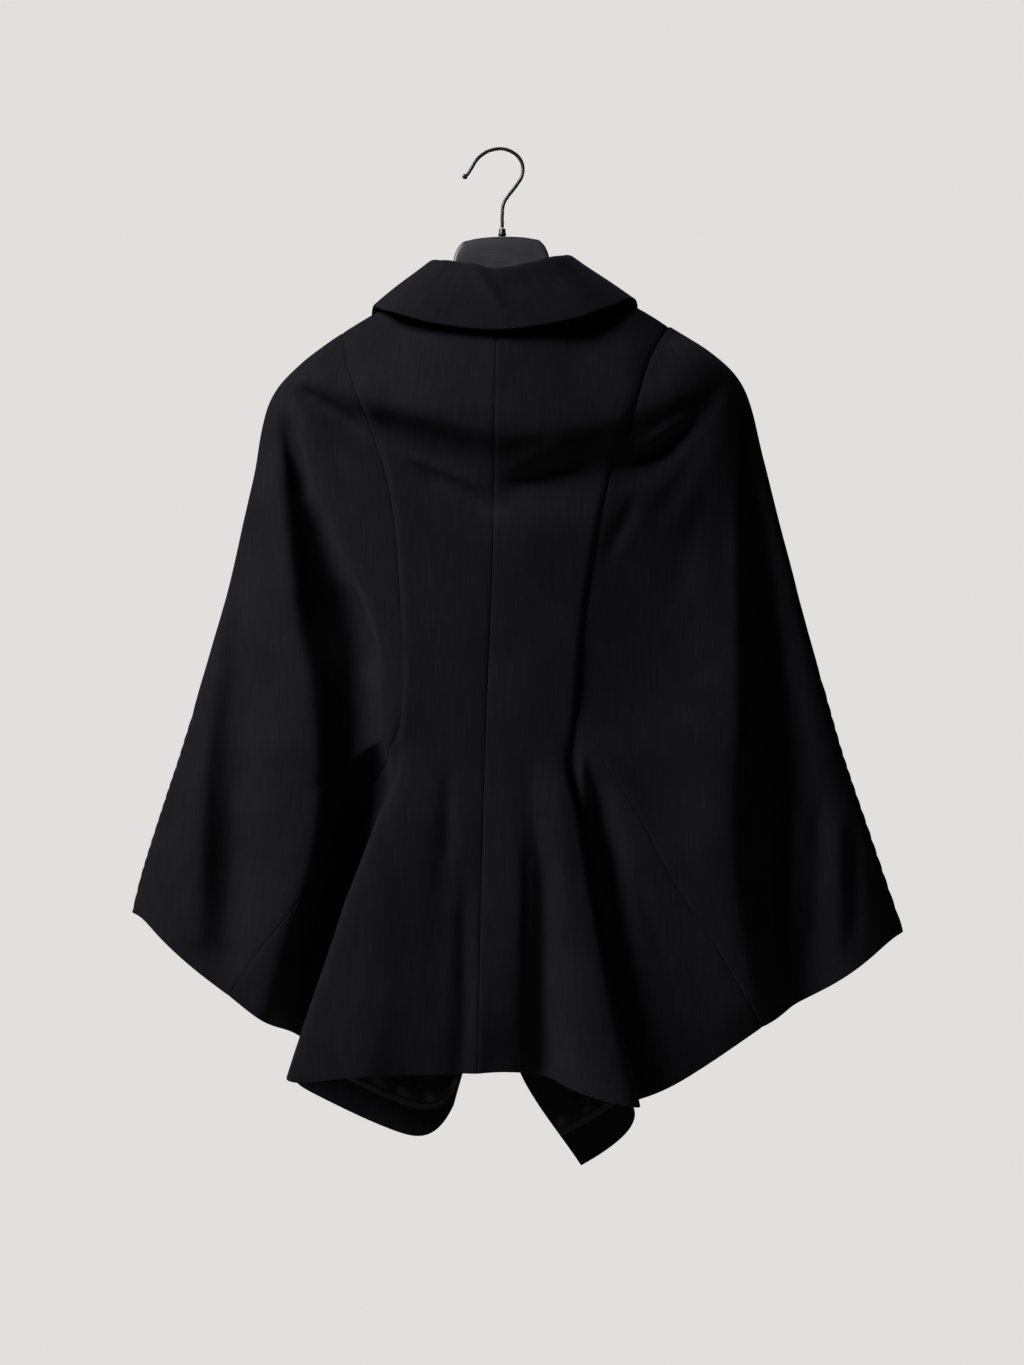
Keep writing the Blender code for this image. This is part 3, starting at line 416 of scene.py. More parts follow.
# The collar's section at each station, from the left front's break round the back to the right one.
# At the back, the leaf's edge hangs a little closer to the coat than the solid's.
# Columns: the neck seam, the roll and the leaf's edge, each x, y, z
COLLAR = (
    (-6, 60, -486, -5, 63, -480, -10, 62.5, -483),
    (-30, 58, -340, -25, 63, -340, -60, 62, -366),
    (-42, 49, -238, -38, 57, -236, -98, 56, -272),
    (-52, 33, -170, -53, 37, -157, -112, 38, -194),
    (-57, 1, -118, -62, 1, -108, -114, 0, -144.5),
    (-45, -24, -122, -49, -27, -107, -99, -35, -150),
    (-24, -33.8, -135, -27, -40, -113, -57, -52, -164),
    (1, -37, -140, 1, -43, -117, 0, -58.5, -171),
    (26, -34, -133.3, 30, -40, -111, 62, -50.5, -161),
    (48, -24, -122.5, 53, -27, -103, 97, -32.5, -147),
    (62, 1, -117, 66, 1, -104, 124, 0, -137),
    (56, 33, -170, 56, 37, -156, 118, 37, -188),
    (43, 49, -238, 40, 57, -236, 100, 56, -272),
    (29, 58, -340, 26, 63, -340, 60, 62, -366),
    (-1, 60, -486, 0, 63, -480, 4, 62.5, -483),
)
# Dents in the collar's leaf. Columns: x and z at the start, x and z at the end, half width, depth
COLLAR_DENTS = (
    (-26, -108, 4, -152, 5, 3.0),
    (-14, -112, 22, -142, 6, -1.0),
    (-74, -138, -50, -160, 7, 1.0),
    (52, -124, 78, -146, 7, 1.0),
)

# The hanger, from its middle out to the arm's end. Columns: x, top, bottom, half depth
HANGER = (
    (0, -77.5, -158, 6.5), (14, -78, -156, 6.5), (28, -80, -152, 6.5), (36, -83, -149, 6.5),
    (42, -93, -150, 6.5), (47, -114, -150, 5.5), (57, -132, -153, 5.0), (85, -140, -160, 5.0),
    (115, -152, -174, 5.5), (145, -168, -189, 5.5), (172, -184, -203, 5.5), (188, -196, -212, 5.0),
    (197, -206, -212, 3.0),
)
# The hook's middle line from the stem up and round to the tip. Columns: x, z
HOOK = (
    (3, -69.5), (3, -58), (4, -48), (8, -41), (15, -32), (20.5, -23), (21.5, -14), (18, -6),
    (11, -0.5), (3, 1.8), (-5, 1.2), (-13, -2), (-20, -8), (-25, -16), (-29, -22), (-33, -24),
)
# The ferrule's outline from its top down. Columns: share of its radius, z
FERRULE = (
    (0.55, -70.0), (0.8, -70.3), (0.86, -71.0), (0.86, -73.8),
    (0.97, -74.4), (1, -75.0), (1, -76.6), (0.9, -77.0),
)


def smooth_step(value):
    value = np.clip(value, 0.0, 1.0)
    return value * value * (3 - 2 * value)


def along(table, keys):
    """Points at these keys on a smooth curve through a table whose first column is the key."""
    table = np.asarray(table, float)
    at, points = table[:, 0], table[:, 1:]
    slopes = np.gradient(points, at, axis=0)
    keys = np.atleast_1d(np.clip(keys, at[0], at[-1]))
    i = np.clip(np.searchsorted(at, keys, side="right") - 1, 0, len(at) - 2)
    span = (at[i + 1] - at[i])[:, None]
    t = (keys[:, None] - at[i][:, None]) / span
    start = (1 + 2 * t) * (1 - t) ** 2 * points[i] + t * (1 - t) ** 2 * span * slopes[i]
    end = t * t * (3 - 2 * t) * points[i + 1] + t * t * (t - 1) * span * slopes[i + 1]
    return start + end


def down_cloth(rows):
    """The nominal distance down the cloth of each row."""
    return np.interp(rows, np.arange(len(LEVELS_DOWN)), LEVELS_DOWN)


def at_levels(table, rows):
    """Points of a seam or fold table at these rows, on a curve that is smooth in the distance down."""
    table = np.array(table, float)
    table[:, 0] = down_cloth(table[:, 0])
    return along(table, down_cloth(rows))


def spline_weights(count, columns):
    """How much each of a section's control points counts at each column of a clamped cubic B-spline."""
    knots = np.concatenate([[0.0] * 3, np.arange(count - 2), [count - 3.0] * 3])
    t = np.clip(columns, 0, count - 3 - 1e-9)
    weights = ((t[:, None] >= knots[:-1]) & (t[:, None] < knots[1:])).astype(float)
    for degree in (1, 2, 3):
        size = len(knots) - degree - 1
        rise = knots[degree : degree + size] - knots[:size]
        fall = knots[degree + 1 : degree + 1 + size] - knots[1 : 1 + size]
        left = np.where(rise > 0, (t[:, None] - knots[:size]) / np.where(rise > 0, rise, 1), 0)
        right = np.where(
            fall > 0, (knots[degree + 1 : degree + 1 + size] - t[:, None]) / np.where(fall > 0, fall, 1), 0
        )
        weights = left * weights[:, :size] + right * weights[:, 1 : size + 1]
    return weights


def net_of(controls, count):
    """A grid of points over control points given as rows by points by xyz.

    Its columns are evenly spaced on the cloth but for the closer ones beside both edges. Each point's
    share of its row and its distance along it come with it.
    """
    spans = controls.shape[1] - 3
    dense = np.linspace(0, spans, SPAN_SAMPLES * spans + 1)
    curves = np.einsum("ck,rkx->rcx", spline_weights(controls.shape[1], dense), controls)
    steps = np.linalg.norm(np.diff(curves, axis=1), axis=2)
    run = np.concatenate([np.zeros((len(curves), 1)), steps.cumsum(axis=1)], axis=1)
    points, shares, lengths = [], [], []
    for curve, at in zip(curves, run):
        whole = at[-1]
        near = np.array(EDGE_STEPS) * min(1.0, whole / NARROW_ROW)
        even = np.linspace(near[-1], whole - near[-1], count)[1:-1]
        places = np.concatenate([[0.0], near, even, whole - near[::-1], [whole]])
        points.append(np.stack([np.interp(places, at, curve[:, axis]) for axis in range(3)], axis=1))
        shares.append(np.interp(places, at, dense / spans))
        lengths.append(places)
    return np.array(points), np.array(shares), np.array(lengths)


def between(start, end, share, bulge):
    """Points part of the way from start to end, moved along Y by the bulge."""
    points = start + (end - start) * share
    points[:, 1] += bulge
    return points


def edge_row_blend(controls, inner, at_row, reach):
    """Draws the inner control points to a given edge row, less and less over the rows near it."""
    weight = smooth_step(1 - np.abs(ROWS - at_row) / reach)[:, None, None] ** EDGE_BLEND
    row = int(np.argmin(np.abs(ROWS - at_row)))
    shift = np.asarray(inner, float) - controls[row, 1:-1]
    controls[:, 1:-1] += weight * shift


def trunk_net(centre, seam, flute, side, out, top, hem):
    """A back or a front: from its centre line to its seam, with the flute that grows below the waist.

    out is the direction in Y that the piece faces, -1 for the back and 1 for the front.
    """
    middle, edge = at_levels(centre, ROWS), at_levels(seam, ROWS)
    ridge = at_levels(flute, ROWS)
    ridge[ROWS <= WAIST] = edge[ROWS <= WAIST]
    grown = smooth_step((ROWS - WAIST) / FLUTE_ROWS)[:, None]
    fullness = PANEL_FULLNESS * out * np.ones(len(ROWS))
    plain = [between(middle, edge, share, fullness) for share in PANEL_SHARES]
    into = np.array([-side * FLUTE_RADIUS, out * FLUTE_RADIUS * FLUTE_RISE, 0])
    back = np.array([-side * FLUTE_RADIUS, -out * FLUTE_RADIUS * FLUTE_TUCK, 0])
    beyond = np.array([side * FLUTE_LIP, 0, 0])
    near, far = FLUTE_SHARES
    fluted = [
        between(middle, ridge, near, fullness),
        between(middle, ridge, far, 2 * fullness),
        ridge + into,
        ridge + beyond,
        ridge + back,
    ]
    lines = zip([middle, *plain, edge], [middle, *fluted, edge])
    controls = np.stack([p * (1 - grown) + f * grown for p, f in lines], axis=1)
    edge_row_blend(controls, top, 0, TOP_REACH)
    edge_row_blend(controls, hem, HEM, HEM_REACH)
    return net_of(controls, TRUNK_COLUMNS)


def wing_line(side):
    """A wing's inner edge: the back seam down to the waist, then the diagonal seam."""
    return BACK_SEAM[side][:WAIST] + DIAGONAL[side]


def wing_net(side):
    """A cape wing: from the back seam and its diagonal round the outer fold to the front seam."""
    inner = at_levels(wing_line(side), ROWS)
    outer = at_levels(OUTER_FOLD[side], ROWS)
    front = at_levels(FRONT_SEAM[side], ROWS)
    full = smooth_step(ROWS / SHOULDER_ROWS)
    radius = (WING_FOLD_RADIUS * full)[:, None]
    turn_back = outer + radius * np.array([-side, -1.0, 0])
    turn_front = outer + radius * np.array([-side, 1.0, 0])
    fuller = full * (1 + LOWER_FULLNESS * smooth_step((ROWS - FULLER_FROM) / FULLER_ROWS))
    tucked = smooth_step((ROWS - TUCKED_FROM) / TUCKED_ROWS)
    seen = [between(inner, turn_back, share, bulge * fuller) for share, bulge in WING_BACK]
    beyond = outer + radius * np.array([side * WING_FOLD_LIP, 0, 0])
    hidden = [
        between(front, turn_front, share, bulge * full - tuck * tucked)
        for share, bulge, tuck in WING_FRONT
    ]
    drop = WING_DROP[side] * smooth_step((ROWS - DROP_FROM) / DROP_ROWS)
    controls = [inner, *seen, turn_back, beyond, turn_front, *hidden, front]
    for points, share in zip(controls[1:], WING_DROP_SHARES):
        points[:, 2] -= drop * share
    return net_of(np.stack(controls, axis=1), WING_COLUMNS)


def side_net(side):
    """The gore below the diagonal seam. Its tip is at the waist."""
    rows = ROWS[ROWS >= WAIST]
    seam, diagonal = at_levels(BACK_SEAM[side], rows), at_levels(wing_line(side), rows)
    deep = GORE_DEPTH[side] * smooth_step((rows - WAIST) / GORE_ROWS)
    drop = GORE_DROP[side] * smooth_step((rows - DROP_FROM) / DROP_ROWS)
    controls = [seam]
    for share, depth_share, drop_share in GORE_LINES:
        points = between(seam, diagonal, share, deep * depth_share)
        points[:, 2] -= drop * drop_share
        controls.append(points)
    controls.append(diagonal)
    return net_of(np.stack(controls, axis=1), GORE_COLUMNS)


def fold_depth(net, kind):
    """How far the broad folds of one kind set each point of a net in."""
    places = net[..., [0, 2]].reshape(-1, 2)
    depth = np.zeros(len(places))
    for its_kind, stations in FOLDS:
        if its_kind != kind:
            continue
        table = np.column_stack([np.arange(len(stations)), np.asarray(stations, float)])
        line = along(table, np.linspace(0, len(stations) - 1, FOLD_SAMPLES * len(stations)))
        run = np.gradient(line[:, :2], axis=0)
        offset = places[:, None] - line[:, :2]
        nearest = np.argmin((offset**2).sum(axis=2), axis=1)
        offset = offset[np.arange(len(places)), nearest]
        run = run[nearest] / np.linalg.norm(run[nearest], axis=1, keepdims=True)
        away = np.maximum(np.linalg.norm(offset, axis=1), 1e-9)
        # 1 beside the line on its right or upper side, 0 on the other, and between past its ends
        upper = 0.5 + 0.5 * (run[:, 0] * offset[:, 1] - run[:, 1] * offset[:, 0]) / away
        width = line[nearest, 3] + (line[nearest, 4] - line[nearest, 3]) * upper
        depth += line[nearest, 2] * np.exp(-((away / width) ** 2))
    return depth.reshape(net.shape[:2])


def below_waist(rows):
    """0 down to the waist, where the gore's tip is, and 1 a little below it."""
    return smooth_step((rows - WAIST) / WAIST_FADE_ROWS)


def off_seam(across):
    """Fades a fold out towards the seam at the far edge of a panel."""
    return smooth_step((1 - across) / FAR_SEAM_FADE)


def wing_folds(net, across):
    """How far a wing's folds move its points along Y, on its back half and on its front half."""
    seen = smooth_step((BACK_HALF_END - across) / HALF_FADE)
    hidden = smooth_step((across - FRONT_HALF_START) / HALF_FADE) * off_seam(across)
    free = np.maximum(smooth_step(across / WING_SEAM_FADE), below_waist(ROWS)[:, None])
    outside = fold_depth(net, "upper") + fold_depth(net, "wing") * free
    return outside * seen - fold_depth(net, "front") * hidden


def coat_nets():
    """Every panel as a grid of points on the middle of its cloth, and its points' shares and distances."""
    nets, shares, lengths = {}, {}, {}

    def keep(piece, made):
        nets[piece], shares[piece], lengths[piece] = made
        return made[:2]

    for side, name in SIDES:
        seam, flute = BACK_SEAM[side], FLUTE[side]
        made = trunk_net(CENTRE_BACK, seam, flute, side, -1, BACK_NECK[side], BACK_HEM[side])
        net, across = keep("back_" + name, made)
        net[..., 1] += fold_depth(net, "upper") + fold_depth(net, "lower") * off_seam(across)
        net, across = keep("cape_" + name, wing_net(side))
        net[..., 1] += wing_folds(net, across)
        net, across = keep("side_" + name, side_net(side))
        free = below_waist(ROWS[ROWS >= WAIST])[:, None] * smooth_step(across / GORE_SEAM_FADE)
        net[..., 1] += fold_depth(net, "wing") * free
        edge, seam, flute = FRONT_EDGE[side], FRONT_SEAM[side], FRONT_FLUTE[side]
        made = trunk_net(edge, seam, flute, side, 1, FRONT_SHOULDER[side], FRONT_HEM[side])
        keep("front_" + name, made)
    for _, name in SIDES:
        back, cape, gore, front = (nets[piece + name] for piece in ("back_", "cape_", "side_", "front_"))
        gore[:, -1] = cape[ROWS >= WAIST, 0]
        gore[:, 0] = back[ROWS >= WAIST, -1]
        cape[ROWS <= WAIST, 0] = back[ROWS <= WAIST, -1]
        cape[:, -1] = front[:, -1]
        cape[0] = back[0, -1]
        front[0, -1] = back[0, -1]
    return nets, shares, lengths


def facing_sign(name):
    """1 where a net's columns and rows turn its normals outwards, and -1 where they turn them in."""
    piece, side = name.split("_")
    return 1 if (side == "left") == (piece != "front") else -1


def panel_normals(net, sign):
    """The outward normal at each point of one panel, from the faces around it."""
    across = net[1:, 1:] - net[:-1, :-1]
    down = net[1:, :-1] - net[:-1, 1:]
    faces = np.cross(across, down) * sign
    normals = np.zeros_like(net)
    for rows in (slice(0, -1), slice(1, None)):
        for columns in (slice(0, -1), slice(1, None)):
            normals[rows, columns] += faces
    return normals / np.maximum(np.linalg.norm(normals, axis=-1, keepdims=True), 1e-9)


def joint_normals(nets):
    """Each net's outward normals. Where panels meet at a seam, they share the mean of theirs."""
    own = {name: panel_normals(net, facing_sign(name)) for name, net in nets.items()}
    total = {}
    edges = {}
    for name, net in nets.items():
        rows, columns = net.shape[:2]
        sides = [(r, c) for r in range(rows) for c in (0, columns - 1)]
        edges[name] = sides + [(0, c) for c in range(columns)]
        at_point = {}
        for spot in edges[name]:
            key = tuple(np.round(net[spot], 2))
            at_point[key] = at_point.get(key, 0) + own[name][spot]
        for key, normal in at_point.items():
            total[key] = total.get(key, 0) + normal / max(np.linalg.norm(normal), 1e-9)
    for name, net in nets.items():
        for spot in edges[name]:
            mean = total[tuple(np.round(net[spot], 2))]
            own[name][spot] = mean / max(np.linalg.norm(mean), 1e-9)
    return own


def crease_depth(net, share, name):
    """How far the smaller creases set each point of a panel in. Each one tapers out at both its ends."""
    piece = name.split("_")[0]
    hidden = (share > 0.5) & (piece == "cape")
    depth = np.zeros(net.shape[:2])
    for kind, on_half in ((piece, ~hidden), (piece + "_front", hidden)):
        for x0, z0, x1, z1, width, deep in CREASES.get(kind, ()):
            start, run = np.array([x0, z0]), np.array([x1 - x0, z1 - z0])
            place = net[..., [0, 2]] - start
            at = place @ run / (run @ run)
            away = np.abs(place @ np.array([-run[1], run[0]])) / np.linalg.norm(run)
            ends = smooth_step(at / CREASE_TAPER + CREASE_PAST)
            ends = ends * smooth_step((1 - at) / CREASE_TAPER + CREASE_PAST)
            depth += deep * np.exp(-((away / width) ** 2)) * ends * on_half
    return depth


def unevenness(points):
    """The soft unevenness of hung cloth: a slow swell and a finer ripple, in millimetres."""
    found = np.empty(len(points))
    for i, point in enumerate(points):
        slow = noise.noise(Vector(point) / SWELL_SIZE)
        fine = noise.noise(Vector(point) / RIPPLE_SIZE + Vector(RIPPLE_PLACE))
        found[i] = slow * SWELL + fine * RIPPLE
    return found


def finish_wool(name, net, normals, share, run):
    """The net with its creases, unevenness and seam grooves, each set in along the cloth's normals."""
    whole = run[:, -1:]
    near = np.minimum(run, whole - run)
    swell = unevenness(net.reshape(-1, 3)).reshape(net.shape[:2])
    set_in = crease_depth(net, share, name) + swell * smooth_step(near / CALM_WIDTH + CALM_SHARE)
    from_seam = whole - run if name.startswith("front") else near
    dip = SEAM_DIP * np.exp(-((from_seam / SEAM_DIP_WIDTH) ** 2))
    return net - normals * (set_in + dip)[..., None]


def new_material(name):
    """A new material with its node tree and its shader."""
    made = bpy.data.materials.new(name)
    made.use_nodes = True
    return made, made.node_tree, made.node_tree.nodes["Principled BSDF"]


def fill(tree, node, values):
    """Sets a node's sockets to these values, or links them to these sockets."""
    for key, value in values.items():
        if isinstance(value, bpy.types.NodeSocket):
            tree.links.new(value, node.inputs[key])
        else:
            node.inputs[key].default_value = value


def add_node(tree, kind, values, **settings):
    """A shader node with its settings and its sockets' values or links."""
    made = tree.nodes.new("ShaderNode" + kind)
    for key, value in settings.items():
        setattr(made, key, value)
    fill(tree, made, values)
    return made


def grey(value):
    return (value, value, value)


def ramp(tree, factor, low, high, dark, light):
    """A soft change from one colour to another between two values of the factor."""
    made = add_node(tree, "ValToRGB", {"Fac": factor})
    first, last = made.color_ramp.elements[0], made.color_ramp.elements[1]
    first.position, last.position = low, high
    first.color, last.color = (*dark, 1), (*light, 1)
    return made.outputs["Color"]


def math_of(tree, operation, first, second):
    return add_node(tree, "Math", {0: first, 1: second}, operation=operation).outputs[0]


def multiplied(tree, first, second):
    """One colour times another."""
    values = {0: 1.0, 6: first, 7: second}
    return add_node(tree, "Mix", values, data_type="RGBA", blend_type="MULTIPLY").outputs[2]


def clouds(tree, place, scale, detail, roughness=0.5):
    """The values of a noise texture."""
    values = {"Vector": place, "Scale": scale, "Detail": detail, "Roughness": roughness}
    return add_node(tree, "TexNoise", values).outputs["Fac"]


def waves(tree, place, length, direction, distortion, detail):
    """The values of a wave texture whose bands repeat at this length."""
    values = {"Vector": place, "Scale": WAVE_PERIOD / length, "Distortion": distortion, "Detail": detail}
    return add_node(tree, "TexWave", values, bands_direction=direction).outputs["Fac"]


def mapped(tree, place, scale=(1, 1, 1), turn=(0, 0, 0)):
    """Texture places stretched and turned."""
    return add_node(tree, "Mapping", {"Vector": place, "Scale": scale, "Rotation": turn}).outputs["Vector"]


def bump(tree, height, strength, distance, **under):
    """The normal of a bump, over the normal of another one if that is given."""
    values = {"Height": height, "Strength": strength, "Distance": distance, **under}
    return add_node(tree, "Bump", values).outputs["Normal"]


def cloth_places(tree):
    """Where each point lies on the flat cloth, in millimetres."""
    return add_node(tree, "UVMap", {}, uv_map=WEAVE_MAP).outputs["UV"]


def wool_material():
    """Black wool twill: diagonal ribs, cross yarns, a nap, slight unevenness of dye, specks of lint, and
    painted light on the weave's ribs with painted shade in its hollows.
    """
    made, tree, shader = new_material("black_wool_twill")
    cloth = cloth_places(tree)
    slub = clouds(tree, mapped(tree, cloth, scale=SLUB_STRETCH), scale=1.0, detail=3.0)
    turned = mapped(tree, cloth, turn=(0, 0, TWILL_TURN))
    rib = waves(tree, turned, TWILL_RIB, "X", distortion=0.5, detail=1.0)
    yarn = waves(tree, cloth, CROSS_YARN, "Y", distortion=0.8, detail=1.0)
    nap = clouds(tree, cloth, scale=1.6, detail=4.0, roughness=0.7)
    ribs, yarns, fuzz = (
        math_of(tree, "MULTIPLY", height, share) for height, share in ((rib, 0.6), (yarn, 0.2), (nap, 0.5))
    )
    height = math_of(tree, "ADD", math_of(tree, "ADD", ribs, yarns), fuzz)
    weave = bump(tree, height, strength=0.55, distance=0.00016)
    patches = clouds(tree, cloth, scale=0.014, detail=3.0)
    dyed = ramp(tree, patches, 0.3, 0.7, WOOL_DARK, WOOL_LIGHT)
    streaked = ramp(tree, slub, 0.3, 0.75, grey(0.8), grey(1.2))
    # Painted light and painted shade: the weave's height lightens its ribs and darkens the hollows between
    # them
    weave_painted_light_shade = ramp(tree, height, 0.3, 1.0, grey(0.6), grey(1.35))
    colour = multiplied(tree, multiplied(tree, dyed, streaked), weave_painted_light_shade)
    specks = add_node(tree, "TexVoronoi", {"Vector": cloth, "Scale": 0.045}).outputs["Distance"]
    is_lint = math_of(tree, "LESS_THAN", specks, LINT_SHARE)
    linted = add_node(tree, "Mix", {0: is_lint, 6: colour, 7: LINT_COLOUR}, data_type="RGBA")
    values = {
        "Base Color": linted.outputs[2],
        "Roughness": 0.9,
        "Specular IOR Level": 0.05,
        "Sheen Weight": 0.03,
        "Sheen Roughness": 0.45,
        "Sheen Tint": (0.62, 0.64, 0.74, 1),
        "Normal": bump(tree, slub, strength=0.3, distance=0.0004, Normal=weave),
    }
    fill(tree, shader, values)
    return made


def satin_material(name, dark, light, gloss):
    """Satin: a smooth fine weave with a soft gloss. gloss is its roughness where it is smoothest."""
    made, tree, shader = new_material(name)
    cloth = cloth_places(tree)
    threads = waves(tree, cloth, SATIN_THREAD, "Y", distortion=0.3, detail=2.0)
    shade = clouds(tree, cloth, scale=0.12, detail=3.0)
    values = {
        "Base Color": ramp(tree, shade, 0.3, 0.7, dark, light),
        "Roughness": ramp(tree, shade, 0.3, 0.7, grey(gloss), grey(gloss + 0.1)),
        "Specular IOR Level": 0.14,
        "Normal": bump(tree, threads, strength=0.2, distance=0.00005),
    }
    fill(tree, shader, values)
    return made


def plastic_material():
    """Moulded black plastic with a fine matt grain, a little worn and scuffed."""
    made, tree, shader = new_material("black_moulded_plastic")
    place = add_node(tree, "TexCoord", {}).outputs["Object"]
    cloud = clouds(tree, place, scale=45.0, detail=4.0)
    grain = clouds(tree, place, scale=2600.0, detail=2.0)
    stretched = mapped(tree, place, scale=(60.0, 60.0, 900.0), turn=(0, 0.5, 0))
    scuff = clouds(tree, stretched, scale=1.0, detail=3.0)
    values = {
        "Base Color": ramp(tree, cloud, 0.3, 0.7, PLASTIC_DARK, PLASTIC_LIGHT),
        "Roughness": ramp(tree, scuff, 0.35, 0.75, grey(0.42), grey(0.50)),
        "Specular IOR Level": 0.5,
        "Normal": bump(tree, grain, strength=0.25, distance=0.00008),
    }
    fill(tree, shader, values)
    return made


def wire_material():
    """Steel wire under a thin black coat, a little uneven, with bare spots worn into its gloss."""
    made, tree, shader = new_material("black_coated_wire")
    place = add_node(tree, "TexCoord", {}).outputs["Object"]
    coat = clouds(tree, place, scale=420.0, detail=3.0)
    values = {
        "Base Color": ramp(tree, coat, 0.35, 0.8, WIRE_DARK, WIRE_LIGHT),
        "Metallic": 0.35,
        "Roughness": ramp(tree, coat, 0.3, 0.7, grey(0.24), grey(0.42)),
        "Normal": bump(tree, coat, strength=0.2, distance=0.0001),
    }
    fill(tree, shader, values)
    return made


def mesh_of(name, points, faces, finish, weave=None):
    """A closed smooth mesh object from points in millimetres, with its places on the flat cloth."""
    mesh = bpy.data.meshes.new(name)
    mesh.from_pydata((points * MM).tolist(), [], faces)
    if weave is not None:
        corner = np.empty(len(mesh.loops), np.int32)
        mesh.loops.foreach_get("vertex_index", corner)
        layer = mesh.uv_layers.new(name=WEAVE_MAP)
        layer.data.foreach_set("uv", weave[corner].astype(np.float32).ravel())
    shape = bmesh.new()
    shape.from_mesh(mesh)
    bmesh.ops.remove_doubles(shape, verts=shape.verts, dist=WELD)
    bmesh.ops.recalc_face_normals(shape, faces=shape.faces)
    if shape.calc_volume(signed=True) < 0:
        bmesh.ops.reverse_faces(shape, faces=shape.faces)
    shape.to_mesh(mesh)
    shape.free()
    mesh.shade_smooth()
    mesh.set_sharp_from_angle(angle=SHARP_ANGLE)
    mesh.materials.append(finish)
    made = bpy.data.objects.new(name, mesh)
    bpy.context.scene.collection.objects.link(made)
    return made


def cloth_shell(name, net, normals, weave, finish, wall, moved=0.0):
    """A thin closed shell on a net, its edges rolled over and its middle moved outwards by a distance."""
    rows, columns = net.shape[:2]
    half = np.full((rows, columns, 1), wall / 2)
    half[[0, -1]] *= EDGE_ROLL
    half[:, [0, -1]] *= EDGE_ROLL
    outer = net + normals * (moved + half)
    inner = net + normals * (moved - half)
    points = np.concatenate([outer.reshape(-1, 3), inner.reshape(-1, 3)])
    layer = rows * columns
    index = np.arange(layer).reshape(rows, columns)
    corners = [index[:-1, :-1], index[:-1, 1:], index[1:, 1:], index[1:, :-1]]
    quads = np.stack(corners, axis=-1).reshape(-1, 4)
    rims = []
    for line in (index[0], index[-1], index[:, 0], index[:, -1]):
        rims.append(np.stack([line[:-1], line[1:], line[1:] + layer, line[:-1] + layer], axis=1))
    faces = np.concatenate([quads, quads[:, ::-1] + layer, *rims]).tolist()
    return mesh_of(name, points, faces, finish, np.concatenate([weave.reshape(-1, 2)] * 2))


def smoothed(values, reach):
    """Values averaged with their neighbours."""
    padded = np.pad(values, reach, mode="edge")
    return np.convolve(padded, np.full(2 * reach + 1, 1 / (2 * reach + 1)), mode="valid")


def weave_places(name, net, run):
    """Where each point lies on the flat cloth, in millimetres: across the grain, and up along it."""
    piece, side = name.split("_")
    turn = 1 if side == "right" else -1
    if piece == "cape":
        at_fold = np.argmax(np.abs(net[..., 0]), axis=1)
        rows = np.arange(len(net))
        fold_run = smoothed(run[rows, at_fold], FOLD_LINE_REACH)
        fold_x = smoothed(net[rows, at_fold, 0], FOLD_LINE_REACH)
        across = fold_x[:, None] + turn * (run - fold_run[:, None])
    elif piece == "side":
        across = net[..., 0]
    else:
        across = net[:, :1, 0] + turn * run
    return np.stack([across, net[..., 2]], axis=-1)


def flat_size(net):
    """The width, length and area of a net's cloth in metres, a little eased to hold the whole panel."""
    across = np.linalg.norm(np.diff(net, axis=1), axis=2).sum(axis=1).max()
    down = np.linalg.norm(np.diff(net, axis=0), axis=2).sum(axis=0).max()
    first = np.cross(net[:-1, 1:] - net[:-1, :-1], net[1:, :-1] - net[:-1, :-1])
    second = np.cross(net[1:, 1:] - net[:-1, 1:], net[1:, 1:] - net[1:, :-1])
    area = (np.linalg.norm(first, axis=2).sum() + np.linalg.norm(second, axis=2).sum()) / 2
    return across * MM, down * MM, area * MM * MM


def stand_for(piece, node):
    """Says which solid a piece stands for, by hiding that solid. Every piece rides on the root."""
    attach(piece, "root")
    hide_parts(node)


def declare(piece, net, node):
    """Says what a cloth piece is: its body, the solid that it stands for and its cut."""
    width, length, area = flat_size(net)
    stand_for(piece, node)
    area = min(area, width * length)
    CUTS[piece.name] = (round(width, 3), round(length, 3), round(area, 4))


def add_coat(wool):
    nets, shares, lengths = coat_nets()
    normals = joint_normals(nets)
    finished = {}
    for name, net in nets.items():
        creased = finish_wool(name, net, normals[name], shares[name], lengths[name])
        weave = weave_places(name, net, lengths[name])
        piece = cloth_shell(name + "_cloth", creased, normals[name], weave, wool, WALL)
        declare(piece, net, name)
        finished[name] = (creased, normals[name], shares[name], weave)
    return finished


def front_layer(name, front, levels, inwards, wall, finish, pleats=0.0):
    """A thin layer inside a front, on the front's own points between two levels, and its points."""
    net, normals, share, weave = front
    places = np.interp(levels, ROWS, np.arange(len(ROWS)))
    low = np.minimum(places.astype(int), len(ROWS) - 2)
    part = (places - low)[:, None, None]
    columns = int(np.searchsorted(share[-1], LAYER_SHARE))
    points, outward, places_on = (
        (values[low] * (1 - part) + values[low + 1] * part)[:, :columns] for values in (net, normals, weave)
    )
    outward /= np.linalg.norm(outward, axis=-1, keepdims=True)
    if pleats:
        across = places_on[..., 0]
        short = PLEAT_SHARE * np.sin(across / SHORT_PLEAT + PLEAT_SHIFT)
        wave = np.sin(across / LONG_PLEAT) + short + PLEAT_LEAST
        down = np.linspace(0, 1, len(levels))
        up = np.linspace(1, 0, len(levels))
        ends = smooth_step(down / PLEAT_TOP) * smooth_step(up / PLEAT_FOOT)
        points = points - outward * (wave * pleats * ends[:, None])[..., None]
    return cloth_shell(name, points, outward, places_on, finish, wall, moved=-inwards), points


